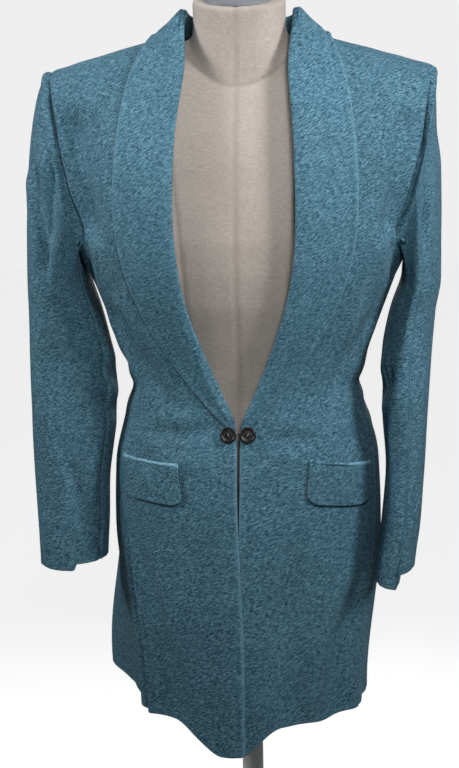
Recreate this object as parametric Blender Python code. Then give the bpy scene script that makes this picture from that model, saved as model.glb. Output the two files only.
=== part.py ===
"""Long single-button coat on a limbless dress form.

Metres, Z up.  The wearer's left is +X, the front faces -Y, the stand's foot is
at Z = 0 and its pole on the Z axis.  Every cloth piece is a thin shell: its
outer face is worked out from sections and seams, its inner face lies one cloth
thickness inside.  A point on the coat is found from its turn (degrees from
centre front, positive to the wearer's left) and its level (height; above the
armholes the level runs up to the sloping shoulder line).
"""
import math
from collections import namedtuple

import bmesh
import bpy
import numpy as np
from mathutils import Vector

CLOTH = 0.0020
SEAM_GAP = 0.0003
LAID_GAP = 0.0006
SHAWL_GAP = 0.0014
SLEEVE_GAP = 0.0009

ARM_LEVEL = 1.125
TOP_LEVEL = 1.300
HEM_LEVEL = 0.594
BUTTON_LEVEL = 0.917
SHOULDER_SLOPE = 0.28
SHOULDER_AT_CENTRE = 1.370

Section = namedtuple("Section", "level half_width front back square prow front_seam back_seam")
COAT = (
    Section(0.560, 0.155, 0.147, 0.152, 2.20, 0.020, 57, 116),
    Section(0.650, 0.155, 0.143, 0.147, 2.20, 0.014, 60, 116),
    Section(0.750, 0.154, 0.138, 0.140, 2.20, 0.007, 67, 116),
    Section(0.830, 0.153, 0.132, 0.131, 2.25, 0.002, 72, 117),
    Section(0.880, 0.151, 0.125, 0.121, 2.30, 0.000, 72, 117),
    Section(0.915, 0.141, 0.115, 0.104, 2.30, 0.000, 70, 117),
    Section(0.950, 0.130, 0.107, 0.088, 2.30, 0.000, 68, 117),
    Section(0.985, 0.136, 0.107, 0.087, 2.30, 0.000, 66, 117),
    Section(1.020, 0.149, 0.114, 0.093, 2.35, 0.000, 64, 117),
    Section(1.060, 0.164, 0.122, 0.101, 2.40, 0.000, 62, 118),
    Section(1.100, 0.179, 0.127, 0.106, 2.50, 0.000, 62, 118),
    Section(1.125, 0.188, 0.126, 0.108, 2.55, 0.000, 62, 118),
    Section(1.170, 0.204, 0.126, 0.108, 2.65, 0.000, 61, 118),
    Section(1.210, 0.216, 0.126, 0.108, 2.80, 0.000, 60, 119),
    Section(1.260, 0.228, 0.126, 0.108, 2.90, 0.000, 57, 122),
    Section(1.300, 0.235, 0.126, 0.108, 3.00, 0.000, 55, 125),
)

FORM = (
    Section(0.780, 0.130, 0.104, 0.104, 2.20, 0.0, 0, 0),
    Section(0.850, 0.136, 0.108, 0.108, 2.20, 0.0, 0, 0),
    Section(0.890, 0.132, 0.103, 0.102, 2.20, 0.0, 0, 0),
    Section(0.950, 0.112, 0.088, 0.072, 2.20, 0.0, 0, 0),
    Section(1.000, 0.120, 0.094, 0.074, 2.20, 0.0, 0, 0),
    Section(1.060, 0.142, 0.110, 0.088, 2.25, 0.0, 0, 0),
    Section(1.110, 0.156, 0.114, 0.094, 2.30, 0.0, 0, 0),
    Section(1.170, 0.166, 0.108, 0.094, 2.40, 0.0, 0, 0),
    Section(1.230, 0.172, 0.104, 0.092, 2.50, 0.0, 0, 0),
    Section(1.300, 0.176, 0.100, 0.090, 2.60, 0.0, 0, 0),
)

# Largest folds of the skirt: the ridge or trough is faint at its top level and
# full at the hem; a positive depth stands out.
Fold = namedtuple("Fold", "top_level top_turn hem_turn depth width")
FOLDS = (
    Fold(0.80, -72, -66, -0.022, 14),
    Fold(0.80, -88, -86, -0.020, 12),
    Fold(0.86, -118, -128, 0.042, 20),
    Fold(0.84, -50, -30, -0.007, 8),
    Fold(0.78, 54, 43, -0.009, 8),
    Fold(0.78, 76, 72, -0.014, 14),
    Fold(0.78, 98, 100, -0.021, 22),
    Fold(0.84, 146, 152, -0.009, 11),
    Fold(0.86, -142, -150, -0.008, 11),
)

HEM_DIP = 0.030
HEM_DIP_FLAT = 0.022
HEM_DIP_RUN = 0.055

# Front edge from the closure up: the line the lapel rolls on.
Edge = namedtuple("Edge", "height x")
FRONT_EDGE = (
    Edge(0.540, 0.0005),
    Edge(0.800, 0.0006),
    Edge(0.860, 0.0022),
    Edge(0.917, 0.0024),
    Edge(0.950, 0.0190),
    Edge(0.987, 0.0350),
    Edge(1.023, 0.0480),
    Edge(1.056, 0.0585),
    Edge(1.090, 0.0655),
    Edge(1.122, 0.0700),
    Edge(1.153, 0.0715),
    Edge(1.195, 0.0710),
    Edge(1.236, 0.0700),
    Edge(1.277, 0.0690),
    Edge(1.319, 0.0685),
    Edge(1.351, 0.0690),
)

# Shawl in front: where it leaves the front edge, where its outer edge lies, and
# how high it stands before it turns over.
Lapel = namedtuple("Lapel", "base_height edge_x edge_height stand")
LAPEL = (
    Lapel(0.9295, 0.0150, 0.9275, 0.0012),
    Lapel(0.938, 0.0250, 0.936, 0.0012),
    Lapel(0.955, 0.0412, 0.954, 0.0012),
    Lapel(0.980, 0.0570, 0.974, 0.0012),
    Lapel(1.005, 0.0735, 0.997, 0.0012),
    Lapel(1.030, 0.0905, 1.022, 0.0012),
    Lapel(1.056, 0.1040, 1.049, 0.0012),
    Lapel(1.083, 0.1160, 1.078, 0.0012),
    Lapel(1.110, 0.1245, 1.107, 0.0012),
    Lapel(1.140, 0.1300, 1.138, 0.0012),
    Lapel(1.172, 0.1318, 1.171, 0.0012),
    Lapel(1.205, 0.1308, 1.204, 0.0012),
    Lapel(1.238, 0.1285, 1.236, 0.0018),
    Lapel(1.270, 0.1248, 1.266, 0.0040),
    Lapel(1.300, 0.1200, 1.293, 0.0085),
    Lapel(1.328, 0.1120, 1.3178, 0.0150),
    Lapel(1.3506, 0.0990, 1.3422, 0.0210),
)
NECK_X = 0.069
NECK_BACK_DROP = 0.0235
COLLAR_EDGE_X = 0.099
COLLAR_BACK_DROP = 0.0480
COLLAR_STAND_SIDE = 0.021
COLLAR_STAND_BACK = 0.027
STAND_LEAN = 0.30
ROLL_RADIUS = 0.0020

POCKET_INNER_X = 0.064
POCKET_OUTER_X = 0.1385
FLAP_TOP = 0.8845
FLAP_DEPTH = 0.046
FLAP_SLANT = 0.004
FLAP_CORNER = 0.014
WELT_DEPTH = 0.0065

BUTTON_RADIUS = 0.009
BUTTON_THICK = 0.0036
BUTTON_X = 0.0106

Ring = namedtuple("Ring", "level centre_x centre_y half_width half_depth")
SLEEVE_RIGHT = (
    Ring(1.075, 0.2140, 0.002, 0.0350, 0.063),
    Ring(1.045, 0.2080, 0.002, 0.0410, 0.061),
    Ring(1.000, 0.2025, 0.000, 0.0470, 0.058),
    Ring(0.960, 0.1990, -0.006, 0.0500, 0.055),
    Ring(0.905, 0.1990, -0.016, 0.0480, 0.052),
    Ring(0.850, 0.2015, -0.024, 0.0425, 0.050),
    Ring(0.795, 0.1995, -0.036, 0.0410, 0.047),
    Ring(0.751, 0.1985, -0.046, 0.0385, 0.044),
)
SLEEVE_LEFT = (
    Ring(1.075, 0.1990, 0.006, 0.0195, 0.070),
    Ring(1.045, 0.1910, 0.006, 0.0255, 0.069),
    Ring(1.000, 0.1840, -0.006, 0.0285, 0.067),
    Ring(0.960, 0.1825, -0.024, 0.0270, 0.063),
    Ring(0.915, 0.1815, -0.034, 0.0245, 0.060),
    Ring(0.875, 0.1822, -0.044, 0.0215, 0.057),
    Ring(0.835, 0.1795, -0.056, 0.0215, 0.054),
    Ring(0.795, 0.1760, -0.066, 0.0220, 0.051),
    Ring(0.751, 0.1690, -0.080, 0.0225, 0.048),
)
SLEEVE_COLUMNS = 24
UNDERARM_START = 9
FRONT_SLEEVE_SEAM = 10
BACK_SLEEVE_SEAM = 17
UNDERARM_COLUMNS = 6

POLE_RADIUS = 0.0125
POLE_FOOT = 0.030
FORM_FOOT = 0.780
FORM_TOP = 1.386
NECK_TOP_SLOPE = 0.24
BASE_RADIUS = 0.210


def put_away():
    """Empty the scene of every object."""
    for thing in list(bpy.data.objects):
        bpy.data.objects.remove(thing, do_unlink=True)


def column(rows, name, at, reach=0.012):
    """A table's column read at any level, with its corners softened."""
    levels = np.array([row.level for row in rows])
    values = np.array([getattr(row, name) for row in rows], dtype=float)
    at = np.asarray(at, dtype=float)
    total = 0.0
    for step, weight in ((-1.0, 1.0), (-0.5, 2.0), (0.0, 3.0), (0.5, 2.0), (1.0, 1.0)):
        total = total + weight * np.interp(at + step * reach, levels, values)
    return total / 9.0


def shoulder_height(x):
    return SHOULDER_AT_CENTRE - SHOULDER_SLOPE * np.abs(x)


def ease(share):
    """Smooth step from 0 to 1."""
    share = np.clip(share, 0.0, 1.0)
    return share * share * (3.0 - 2.0 * share)


def surface(turn, level, rows, drop=0.0):
    """Points of a garment or form surface; turn in degrees."""
    turn, level = np.broadcast_arrays(np.asarray(turn, float), np.asarray(level, float))
    share = (level - ARM_LEVEL) / (TOP_LEVEL - ARM_LEVEL)
    mirror = np.where(share > 1.0, -1.0, 1.0)
    share = np.clip(np.where(share > 1.0, 2.0 - share, share), 0.0, 1.0)
    held = np.minimum(level, ARM_LEVEL) if rows is COAT else np.minimum(level, TOP_LEVEL)
    capped = np.minimum(level, TOP_LEVEL)
    half_width = column(rows, "half_width", capped)
    square = column(rows, "square", capped)
    front = column(rows, "front", held) * (1.0 - share ** 1.6) ** 0.555
    back = column(rows, "back", held) * (1.0 - share ** 2.2) ** 0.5
    prow = column(rows, "prow", capped)
    angle = np.radians(turn)
    side, ahead = np.sin(angle), np.cos(angle)
    reach = (np.abs(side) ** square + np.abs(ahead) ** square) ** (-1.0 / square)
    x = half_width * reach * side
    y = -np.where(ahead > 0.0, front, back) * reach * ahead * mirror
    y = y - np.where(ahead > 0.0, prow, 0.0) * np.exp(-(x / 0.045) ** 2)
    z = np.where(level <= ARM_LEVEL, level, ARM_LEVEL + share * (shoulder_height(x) - ARM_LEVEL))
    return np.stack([x, y, z - drop], axis=-1)


def fold_push(turn, level):
    """How far the skirt's folds stand out from its plain section."""
    turn, level = np.broadcast_arrays(np.asarray(turn, float), np.asarray(level, float))
    push = np.zeros(turn.shape)
    for fold in FOLDS:
        down = (fold.top_level - level) / (fold.top_level - HEM_LEVEL)
        line = fold.top_turn + (fold.hem_turn - fold.top_turn) * np.clip(down, 0.0, 1.0)
        push = push + fold.depth * ease(down) * np.exp(-((turn - line) / fold.width) ** 2)
    return push


def coat(turn, level):
    """Outer face of the coat's body."""
    points = surface(turn, level, COAT)
    flat = points.copy()
    flat[..., 2] = 0.0
    away = flat / np.maximum(np.linalg.norm(flat, axis=-1, keepdims=True), 1e-6)
    points = points + away * fold_push(turn, level)[..., None]
    side = np.abs(points[..., 0])
    near = 1.0 - (side - HEM_DIP_FLAT) / HEM_DIP_RUN
    ahead = np.where(points[..., 1] < 0.0, 1.0, 0.0)
    low = ease((0.84 - points[..., 2]) / (0.84 - HEM_LEVEL))
    points[..., 2] = points[..., 2] - HEM_DIP * ease(near) * ahead * low
    return points


def unit(vectors):
    return vectors / np.maximum(np.linalg.norm(vectors, axis=-1, keepdims=True), 1e-12)


def coat_normal(turn, level):
    """Outward direction of the coat's body."""
    turn, level = np.broadcast_arrays(np.asarray(turn, float), np.asarray(level, float))
    across = coat(turn + 0.1, level) - coat(turn - 0.1, level)
    upward = coat(turn, level + 0.0004) - coat(turn, level - 0.0004)
    return unit(np.cross(across, upward))


def turn_at(x, level, back=False):
    """The turn at which the plain section reaches x."""
    half_width = column(COAT, "half_width", np.minimum(level, TOP_LEVEL))
    square = column(COAT, "square", np.minimum(level, TOP_LEVEL))
    share = np.clip(np.abs(x) / half_width, 0.0, 0.9999)
    rest = (1.0 - share ** square) ** (1.0 / square)
    turn = np.degrees(np.arctan2(share, rest))
    turn = 180.0 - turn if back else turn
    return np.sign(x) * turn


def level_at(x, height):
    """The level whose real height at x is the one given."""
    share = (height - ARM_LEVEL) / (shoulder_height(x) - ARM_LEVEL)
    return np.where(height <= ARM_LEVEL, height, ARM_LEVEL + np.clip(share, 0.0, 1.0) * (TOP_LEVEL - ARM_LEVEL))


def front_edge_turn(level):
    """Turn of the front edge, or of the roll line above the closure."""
    heights = np.array([edge.height for edge in FRONT_EDGE])
    sides = np.array([edge.x for edge in FRONT_EDGE])
    levels = level_at(sides, heights)
    levels[-1] = TOP_LEVEL
    return turn_at(np.interp(level, levels, sides), level)


def panel_levels():
    """Rows of the body panels from hem to shoulder."""
    skirt = np.linspace(HEM_LEVEL, 0.800, 7)
    waist = np.linspace(0.828, ARM_LEVEL, 12)
    yoke = ARM_LEVEL + np.array([0.13, 0.27, 0.41, 0.54, 0.66, 0.77, 0.86, 0.92, 0.96, 0.985, 0.996, 1.0]) * (
        TOP_LEVEL - ARM_LEVEL)
    return np.concatenate([skirt, waist, yoke])


def inset(grid, start=False, end=False, last=False, gap=SEAM_GAP):
    """Draw the named edges of a grid back by half the seam gap, within its face."""
    grid = grid.copy()
    half = gap / 2.0
    if start:
        grid[:, 0] += half * unit(grid[:, 1] - grid[:, 0])
    if end:
        grid[:, -1] += half * unit(grid[:, -2] - grid[:, -1])
    if last:
        grid[-1] += half * unit(grid[-2] - grid[-1])
    return grid


def collection(name, hidden=False):
    """A collection of the scene, made on first use."""
    group = bpy.data.collections.new(name)
    bpy.context.scene.collection.children.link(group)
    group.hide_render = hidden
    return group


def material(name, colour, roughness, metallic=0.0):
    """A plain material for one piece."""
    skin = bpy.data.materials.new(name)
    skin.use_nodes = True
    shader = skin.node_tree.nodes["Principled BSDF"]
    shader.inputs["Base Color"].default_value = (*colour, 1.0)
    shader.inputs["Roughness"].default_value = roughness
    shader.inputs["Metallic"].default_value = metallic
    return skin


TEAL = (0.075, 0.190, 0.215)
TEAL_COLLAR = (0.085, 0.210, 0.240)
BLACK = (0.012, 0.012, 0.014)
THREAD = (0.10, 0.10, 0.11)
LINEN = (0.52, 0.45, 0.38)
CAP = (0.72, 0.68, 0.62)
STAND = (0.78, 0.78, 0.76)


def add_object(name, mesh, group, skin):
    """Link a mesh as a smooth named object."""
    thing = bpy.data.objects.new(name, mesh)
    group.objects.link(thing)
    mesh.materials.append(skin)
    mesh.polygons.foreach_set("use_smooth", [True] * len(mesh.polygons))
    mesh.update()
    return thing


def shell(name, outer, normals, group, skin, thick=CLOTH, ring=False):
    """Closed thin shell from a grid of outer points and their outward directions.

    Both faces are split along the same diagonals, so the wall keeps its thickness.
    """
    rows, columns = outer.shape[:2]
    inner = outer - normals * thick
    count = rows * columns
    points = np.concatenate([outer.reshape(-1, 3), inner.reshape(-1, 3)])
    faces = []

    def at(row, col, layer=0):
        return layer * count + row * columns + col % columns

    spans = columns if ring else columns - 1
    for row in range(rows - 1):
        for col in range(spans):
            for layer in (0, 1):
                first, second = at(row, col, layer), at(row, col + 1, layer)
                third, fourth = at(row + 1, col + 1, layer), at(row + 1, col, layer)
                faces.append((first, second, third) if layer == 0 else (first, third, second))
                faces.append((first, third, fourth) if layer == 0 else (first, fourth, third))
    for col in range(spans):
        faces.append((at(0, col, 1), at(0, col + 1, 1), at(0, col + 1), at(0, col)))
        top = rows - 1
        faces.append((at(top, col), at(top, col + 1), at(top, col + 1, 1), at(top, col, 1)))
    if not ring:
        for row in range(rows - 1):
            faces.append((at(row, 0), at(row + 1, 0), at(row + 1, 0, 1), at(row, 0, 1)))
            end = columns - 1
            faces.append((at(row, end, 1), at(row + 1, end, 1), at(row + 1, end), at(row, end)))
    mesh = bpy.data.meshes.new(name)
    mesh.from_pydata([tuple(point) for point in points], [], faces)
    face_outward(mesh)
    return add_object(name, mesh, group, skin)


def face_outward(mesh):
    """Turn every face of a closed mesh outward."""
    work = bmesh.new()
    work.from_mesh(mesh)
    bmesh.ops.recalc_face_normals(work, faces=work.faces)
    if work.calc_volume(signed=True) < 0.0:
        bmesh.ops.reverse_faces(work, faces=work.faces)
    work.to_mesh(mesh)
    work.free()


def body_panel(name, levels, from_turn, to_turn, columns, group, side, last=True, top=None):
    """One panel of the coat's body between two seam lines."""
    share = np.linspace(0.0, 1.0, columns)
    level = np.repeat(levels[:, None], columns, axis=1)
    if top is not None:
        lift = (levels - levels[0]) / (levels[-1] - levels[0])
        level = level - (ease((lift - 0.75) / 0.25))[:, None] * top(share)[None, :]
    turn = from_turn(level) * (1.0 - share) + to_turn(level) * share
    outer = coat(side * turn, level)
    normals = coat_normal(side * turn, level)
    if normals[0, 0] @ outer[0, 0] < 0.0:
        normals = -normals
    outer = inset(outer, start=True, end=True, last=last)
    return shell(name, outer, normals, group, material(name + "_cloth", TEAL, 0.8))


def underarm_dip(share):
    """How far the side panel's top dips under the arm."""
    return 0.012 * np.sin(np.pi * share)


def build_body(group):
    """Fronts, side panels and backs."""
    levels = panel_levels()
    low = levels[levels <= ARM_LEVEL + 1e-9]

    def front_seam(level):
        return column(COAT, "front_seam", level)

    def back_seam(level):
        return column(COAT, "back_seam", level)

    def centre_back(level):
        return 180.0 + 0.0 * level

    for side, word in ((1.0, "left"), (-1.0, "right")):
        body_panel("front_" + word, levels, front_edge_turn, front_seam, 12, group, side)
        body_panel("side_" + word, low, front_seam, back_seam, 7, group, side, top=underarm_dip)
        build_back("back_" + word, levels, back_seam, centre_back, group, side)


def neck_level(turn):
    """Top level of the back panel: the shoulder seam, dropping at the neck."""
    spread = np.clip(np.abs(turn), 0.0, 180.0)
    x = surface(spread, TOP_LEVEL, COAT)[..., 0]
    inside = np.clip(1.0 - (x / NECK_X) ** 2, 0.0, 1.0) ** 0.5
    return TOP_LEVEL - NECK_BACK_DROP * inside


def build_back(name, levels, back_seam, centre_back, group, side):
    """Back panel, whose top edge runs along the shoulder and dips round the neck."""
    columns = 11
    share = np.linspace(0.0, 1.0, columns)
    neck_turn = float(turn_at(NECK_X, TOP_LEVEL, back=True))
    level = np.repeat(levels[:, None], columns, axis=1)
    edge = np.array([back_seam(TOP_LEVEL) * (1.0 - part) + 180.0 * part for part in share])
    nearest = int(np.argmin(np.abs(edge - neck_turn)))
    bend = neck_turn - edge[nearest]
    lift = ease((levels - ARM_LEVEL) / (TOP_LEVEL - ARM_LEVEL))
    hat = np.interp(share, [0.0, share[nearest], 1.0], [0.0, 1.0, 0.0])
    turn = back_seam(level) * (1.0 - share) + centre_back(level) * share + lift[:, None] * hat * bend
    top = neck_level(edge + hat * bend)
    yoke = np.clip((level - ARM_LEVEL) / (TOP_LEVEL - ARM_LEVEL), 0.0, 1.0)
    level = np.where(level > ARM_LEVEL, ARM_LEVEL + yoke * (top[None, :] - ARM_LEVEL), level)
    outer = coat(side * turn, level)
    normals = coat_normal(side * turn, level)
    if normals[0, 0] @ outer[0, 0] < 0.0:
        normals = -normals
    outer = inset(outer, start=True, end=True, last=True)
    return shell(name, outer, normals, group, material(name + "_cloth", TEAL, 0.8))


def shawl_stations():
    """Rows along the shawl: base and outer edge as (x, level), stand, and side of the body."""
    heights = np.array([row.base_height for row in LAPEL])
    base_x = np.interp(heights, [edge.height for edge in FRONT_EDGE], [edge.x for edge in FRONT_EDGE])
    edge_x = np.array([row.edge_x for row in LAPEL])
    edge_heights = np.array([row.edge_height for row in LAPEL])
    stand = np.array([row.stand for row in LAPEL])
    base_level = level_at(base_x, heights)
    edge_level = level_at(edge_x, edge_heights)
    place = np.arange(len(LAPEL), dtype=float)
    fine = (len(LAPEL) - 1.0) * (1.0 - (1.0 - np.linspace(0.0, 1.0, 22)) ** 1.4)
    front = [np.interp(fine, place, values) for values in (base_x, base_level, edge_x, edge_level, stand)]
    round_back = np.radians(90.0 * np.linspace(0.0, 1.0, 9)[1:] ** 1.7)
    back = [
        NECK_X * np.cos(round_back),
        TOP_LEVEL - NECK_BACK_DROP * np.sin(round_back),
        COLLAR_EDGE_X * np.cos(round_back),
        TOP_LEVEL - COLLAR_BACK_DROP * np.sin(round_back),
        COLLAR_STAND_SIDE + (COLLAR_STAND_BACK - COLLAR_STAND_SIDE) * np.sin(round_back),
    ]
    return front, back


def shawl_rows(values, back):
    """Middle face of the shawl for a run of stations, on the wearer's left."""
    base_x, base_level, edge_x, edge_level, stand = values
    across = np.linspace(0.0, 1.0, 7) ** 1.15
    x = base_x[:, None] * (1.0 - across) + edge_x[:, None] * across
    level = base_level[:, None] * (1.0 - across) + edge_level[:, None] * across
    turn = turn_at(np.maximum(x, 1e-6), level, back=back)
    lying = coat(turn, level)
    normal = coat_normal(turn, level)
    normal = np.where((normal[:, :1, 2:3] < -0.9), -normal, normal)
    outward = np.stack([lying[..., 0], lying[..., 1], 0.0 * lying[..., 2]], axis=-1)
    flip = np.sign(np.sum(normal * (outward + np.array([0.0, 0.0, 0.02])), axis=-1, keepdims=True))
    normal = normal * flip
    base = lying[:, 0]
    along = unit(lying[:, 1] - lying[:, 0])
    share = ease((stand - 0.0012) / (COLLAR_STAND_SIDE - 0.0012))[:, None]
    neck_out = np.stack([base[:, 0], base[:, 1], 0.0 * base[:, 2]], axis=-1)
    neck_out = unit(neck_out)
    upright = unit(np.array([0.0, 0.0, 1.0]) - STAND_LEAN * neck_out)
    rise = unit(-along * (1.0 - share) + upright * share)
    facing = unit(normal[:, 0] * (1.0 - share) + neck_out * share)
    facing = unit(facing - rise * np.sum(facing * rise, axis=-1, keepdims=True))
    seat = base - normal[:, 0] * CLOTH / 2.0 - along * (0.0009 + share * (CLOTH / 2.0 + 0.0010))
    seat = seat + upright * share * 0.0006
    height = stand[:, None]
    points = [seat]
    centre = seat + rise * height + facing * ROLL_RADIUS
    for degrees in (0.0, 60.0, 120.0, 180.0):
        angle = math.radians(degrees)
        points.append(centre + ROLL_RADIUS * (rise * math.sin(angle) - facing * math.cos(angle)))
    lift = SHAWL_GAP + CLOTH / 2.0
    over = 0.0016 * share
    for col in range(1, across.size):
        part = across[col]
        puff = (2.0 * ROLL_RADIUS - CLOTH / 2.0 - lift) * (1.0 - ease(part / 0.45))
        raised = lying[:, col] + normal[:, col] * (lift + puff + over)
        points.append(raised + upright * height * share * (1.0 - part) ** 1.5)
    return np.stack(points, axis=1)


def grid_normals(grid, ring=False):
    """Directions square to a grid of points."""
    down = np.gradient(grid, axis=0)
    if ring:
        across = np.roll(grid, -1, axis=1) - np.roll(grid, 1, axis=1)
    else:
        across = np.gradient(grid, axis=1)
    return unit(np.cross(across, down))


def build_shawl(group):
    """Shawl collar and lapels in one, a half for each side, seamed at centre back."""
    front, back = shawl_stations()
    rows = np.concatenate([shawl_rows(front, False), shawl_rows(back, True)])
    rows[-1, :, 0] = SEAM_GAP / 2.0
    normals = grid_normals(rows)
    middle = rows.shape[0] // 2
    if normals[middle, -2, 1] > 0.0 and rows[middle, -2, 1] < 0.0:
        normals = -normals
    normals[-1, :, 0] = 0.0
    normals = unit(normals)
    for side, word in ((1.0, "left"), (-1.0, "right")):
        turned = np.array([side, 1.0, 1.0])
        outer = (rows + normals * CLOTH / 2.0) * turned
        shell("shawl_" + word, outer, normals * turned, group,
              material("shawl_" + word + "_cloth", TEAL_COLLAR, 0.8))


def laid_piece(name, inner_x, outer_x, top, depth, slant, corner, columns, rows, side, group):
    """A small piece laid on the front: a flap or a welt."""
    x = inner_x + (outer_x - inner_x) * np.linspace(0.0, 1.0, columns)
    if corner > 0.0:
        bend = np.sin(np.linspace(0.0, 0.5 * np.pi, 4))
        left = inner_x + corner * (1.0 - np.cos(np.linspace(0.0, 0.5 * np.pi, 4)))
        right = outer_x - corner * (1.0 - np.cos(np.linspace(0.0, 0.5 * np.pi, 4)))[::-1]
        x = np.concatenate([left, np.linspace(inner_x + corner, outer_x - corner, columns)[1:-1], right])
        low = np.concatenate([corner * (1.0 - bend), np.zeros(columns - 2), corner * (1.0 - bend)[::-1]])
    else:
        low = np.zeros(columns)
    fall = slant * (x - inner_x) / (outer_x - inner_x)
    share = np.linspace(0.0, 1.0, rows)[:, None]
    bottom = top - depth - fall + low
    height = (top - fall)[None, :] * (1.0 - share) + bottom[None, :] * share
    across = np.repeat(x[None, :], rows, axis=0)
    turn = turn_at(across, height)
    lying = coat(side * turn, height)
    normal = coat_normal(side * turn, height)
    if normal[0, 0, 1] > 0.0:
        normal = -normal
    outer = lying + normal * (LAID_GAP + CLOTH)
    return shell(name, outer, normal, group, material(name + "_cloth", TEAL_COLLAR, 0.8))


def build_pockets(group):
    """Hip pockets: a welt above a flap with rounded corners."""
    for side, word in ((1.0, "left"), (-1.0, "right")):
        laid_piece("flap_" + word, POCKET_INNER_X, POCKET_OUTER_X, FLAP_TOP, FLAP_DEPTH, FLAP_SLANT,
                   FLAP_CORNER, 6, 5, side, group)
        laid_piece("welt_" + word, POCKET_INNER_X + 0.001, POCKET_OUTER_X - 0.001,
                   FLAP_TOP + WELT_DEPTH + 2.0 * SEAM_GAP, WELT_DEPTH, FLAP_SLANT, 0.0, 9, 2, side, group)


def button_place(side):
    """Centre and facing of a button on its front."""
    level = BUTTON_LEVEL
    turn = float(turn_at(BUTTON_X, level))
    point = coat(side * turn, level)
    normal = coat_normal(side * turn, level)
    normal = normal if normal[1] < 0.0 else -normal
    return Vector(point), Vector(normal)


def build_buttons(group):
    """Two flat buttons with raised rims and the thread bar that links them."""
    middles = []
    for side, word in ((1.0, "left"), (-1.0, "right")):
        point, normal = button_place(side)
        half = BUTTON_THICK / 2.0
        radius = BUTTON_RADIUS
        profile = (
            (0.0, half - 0.0008), (radius - 0.0022, half - 0.0008), (radius - 0.0016, half),
            (radius - 0.0006, half), (radius, half - 0.0008), (radius, -half + 0.0008),
            (radius - 0.0008, -half), (0.0, -half),
        )
        thing = turned("button_" + word, profile, 22, group, material("button_" + word + "_horn", BLACK, 0.35))
        spot = point + normal * (half + 0.0009)
        turn = normal.to_track_quat("Z", "Y").to_matrix().to_4x4()
        turn.translation = spot
        thing.data.transform(turn)
        middles.append(spot)
    start, end = middles[1], middles[0]
    toward = (end - start).normalized()
    clear = BUTTON_RADIUS + SEAM_GAP
    bar("button_link", start + toward * clear, end - toward * clear, 0.0011, group,
        material("button_link_thread", THREAD, 0.7))


def turned(name, profile, steps, group, skin):
    """A body turned round Z from a closed profile of (radius, height) pairs."""
    work = bmesh.new()
    rings = []
    for radius, height in profile:
        if radius < 1e-9:
            rings.append([work.verts.new((0.0, 0.0, height))])
            continue
        ring = []
        for step in range(steps):
            angle = 2.0 * math.pi * step / steps
            ring.append(work.verts.new((radius * math.cos(angle), radius * math.sin(angle), height)))
        rings.append(ring)
    for upper, lower in zip(rings, rings[1:]):
        for step in range(steps):
            after = (step + 1) % steps
            if len(upper) == 1:
                work.faces.new((upper[0], lower[step], lower[after]))
            elif len(lower) == 1:
                work.faces.new((upper[step], lower[0], upper[after]))
            else:
                work.faces.new((upper[step], lower[step], lower[after], upper[after]))
    mesh = bpy.data.meshes.new(name)
    work.to_mesh(mesh)
    work.free()
    face_outward(mesh)
    return add_object(name, mesh, group, skin)


def bar(name, start, end, radius, group, skin):
    """A short round bar between two points."""
    length = (end - start).length
    profile = ((0.0, length), (radius, length), (radius, 0.0), (0.0, 0.0))
    thing = turned(name, profile, 12, group, skin)
    turn = (end - start).to_track_quat("Z", "Y").to_matrix().to_4x4()
    turn.translation = start
    thing.data.transform(turn)
    return thing


def armhole(side):
    """Turns and levels round the armhole, from the shoulder forward and under the arm."""
    yoke = np.linspace(TOP_LEVEL, ARM_LEVEL, 40)
    under = np.linspace(0.0, 1.0, 20)
    seam_front = column(COAT, "front_seam", ARM_LEVEL)
    seam_back = column(COAT, "back_seam", ARM_LEVEL)
    turn = np.concatenate([
        column(COAT, "front_seam", yoke),
        seam_front + (seam_back - seam_front) * under[1:-1],
        column(COAT, "back_seam", yoke[::-1]),
    ])
    level = np.concatenate([yoke, ARM_LEVEL - underarm_dip(under[1:-1]), yoke[::-1]])
    points = coat(side * turn, level)
    run = np.concatenate([[0.0], np.cumsum(np.linalg.norm(np.diff(points, axis=0), axis=1))])
    corners = (run[0], run[39], run[58], run[-1])
    shares = [
        np.linspace(corners[0], corners[1], UNDERARM_START + 1)[:-1],
        np.linspace(corners[1], corners[2], UNDERARM_COLUMNS + 1)[:-1],
        np.linspace(corners[2], corners[3], SLEEVE_COLUMNS - UNDERARM_START - UNDERARM_COLUMNS + 1)[:-1],
    ]
    wanted = np.concatenate(shares)
    return np.interp(wanted, run, turn), np.interp(wanted, run, level)


def sleeve_ring(row_values, side):
    """Points of one sleeve section, from the outer side forward and inward."""
    level, centre_x, centre_y, half_width, half_depth = row_values
    angle = np.radians(np.arange(SLEEVE_COLUMNS) * 360.0 / SLEEVE_COLUMNS)
    x = centre_x + half_width * np.cos(angle)
    y = centre_y - half_depth * np.sin(angle)
    return np.stack([side * x, y, np.full(angle.shape, level)], axis=-1)


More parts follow.
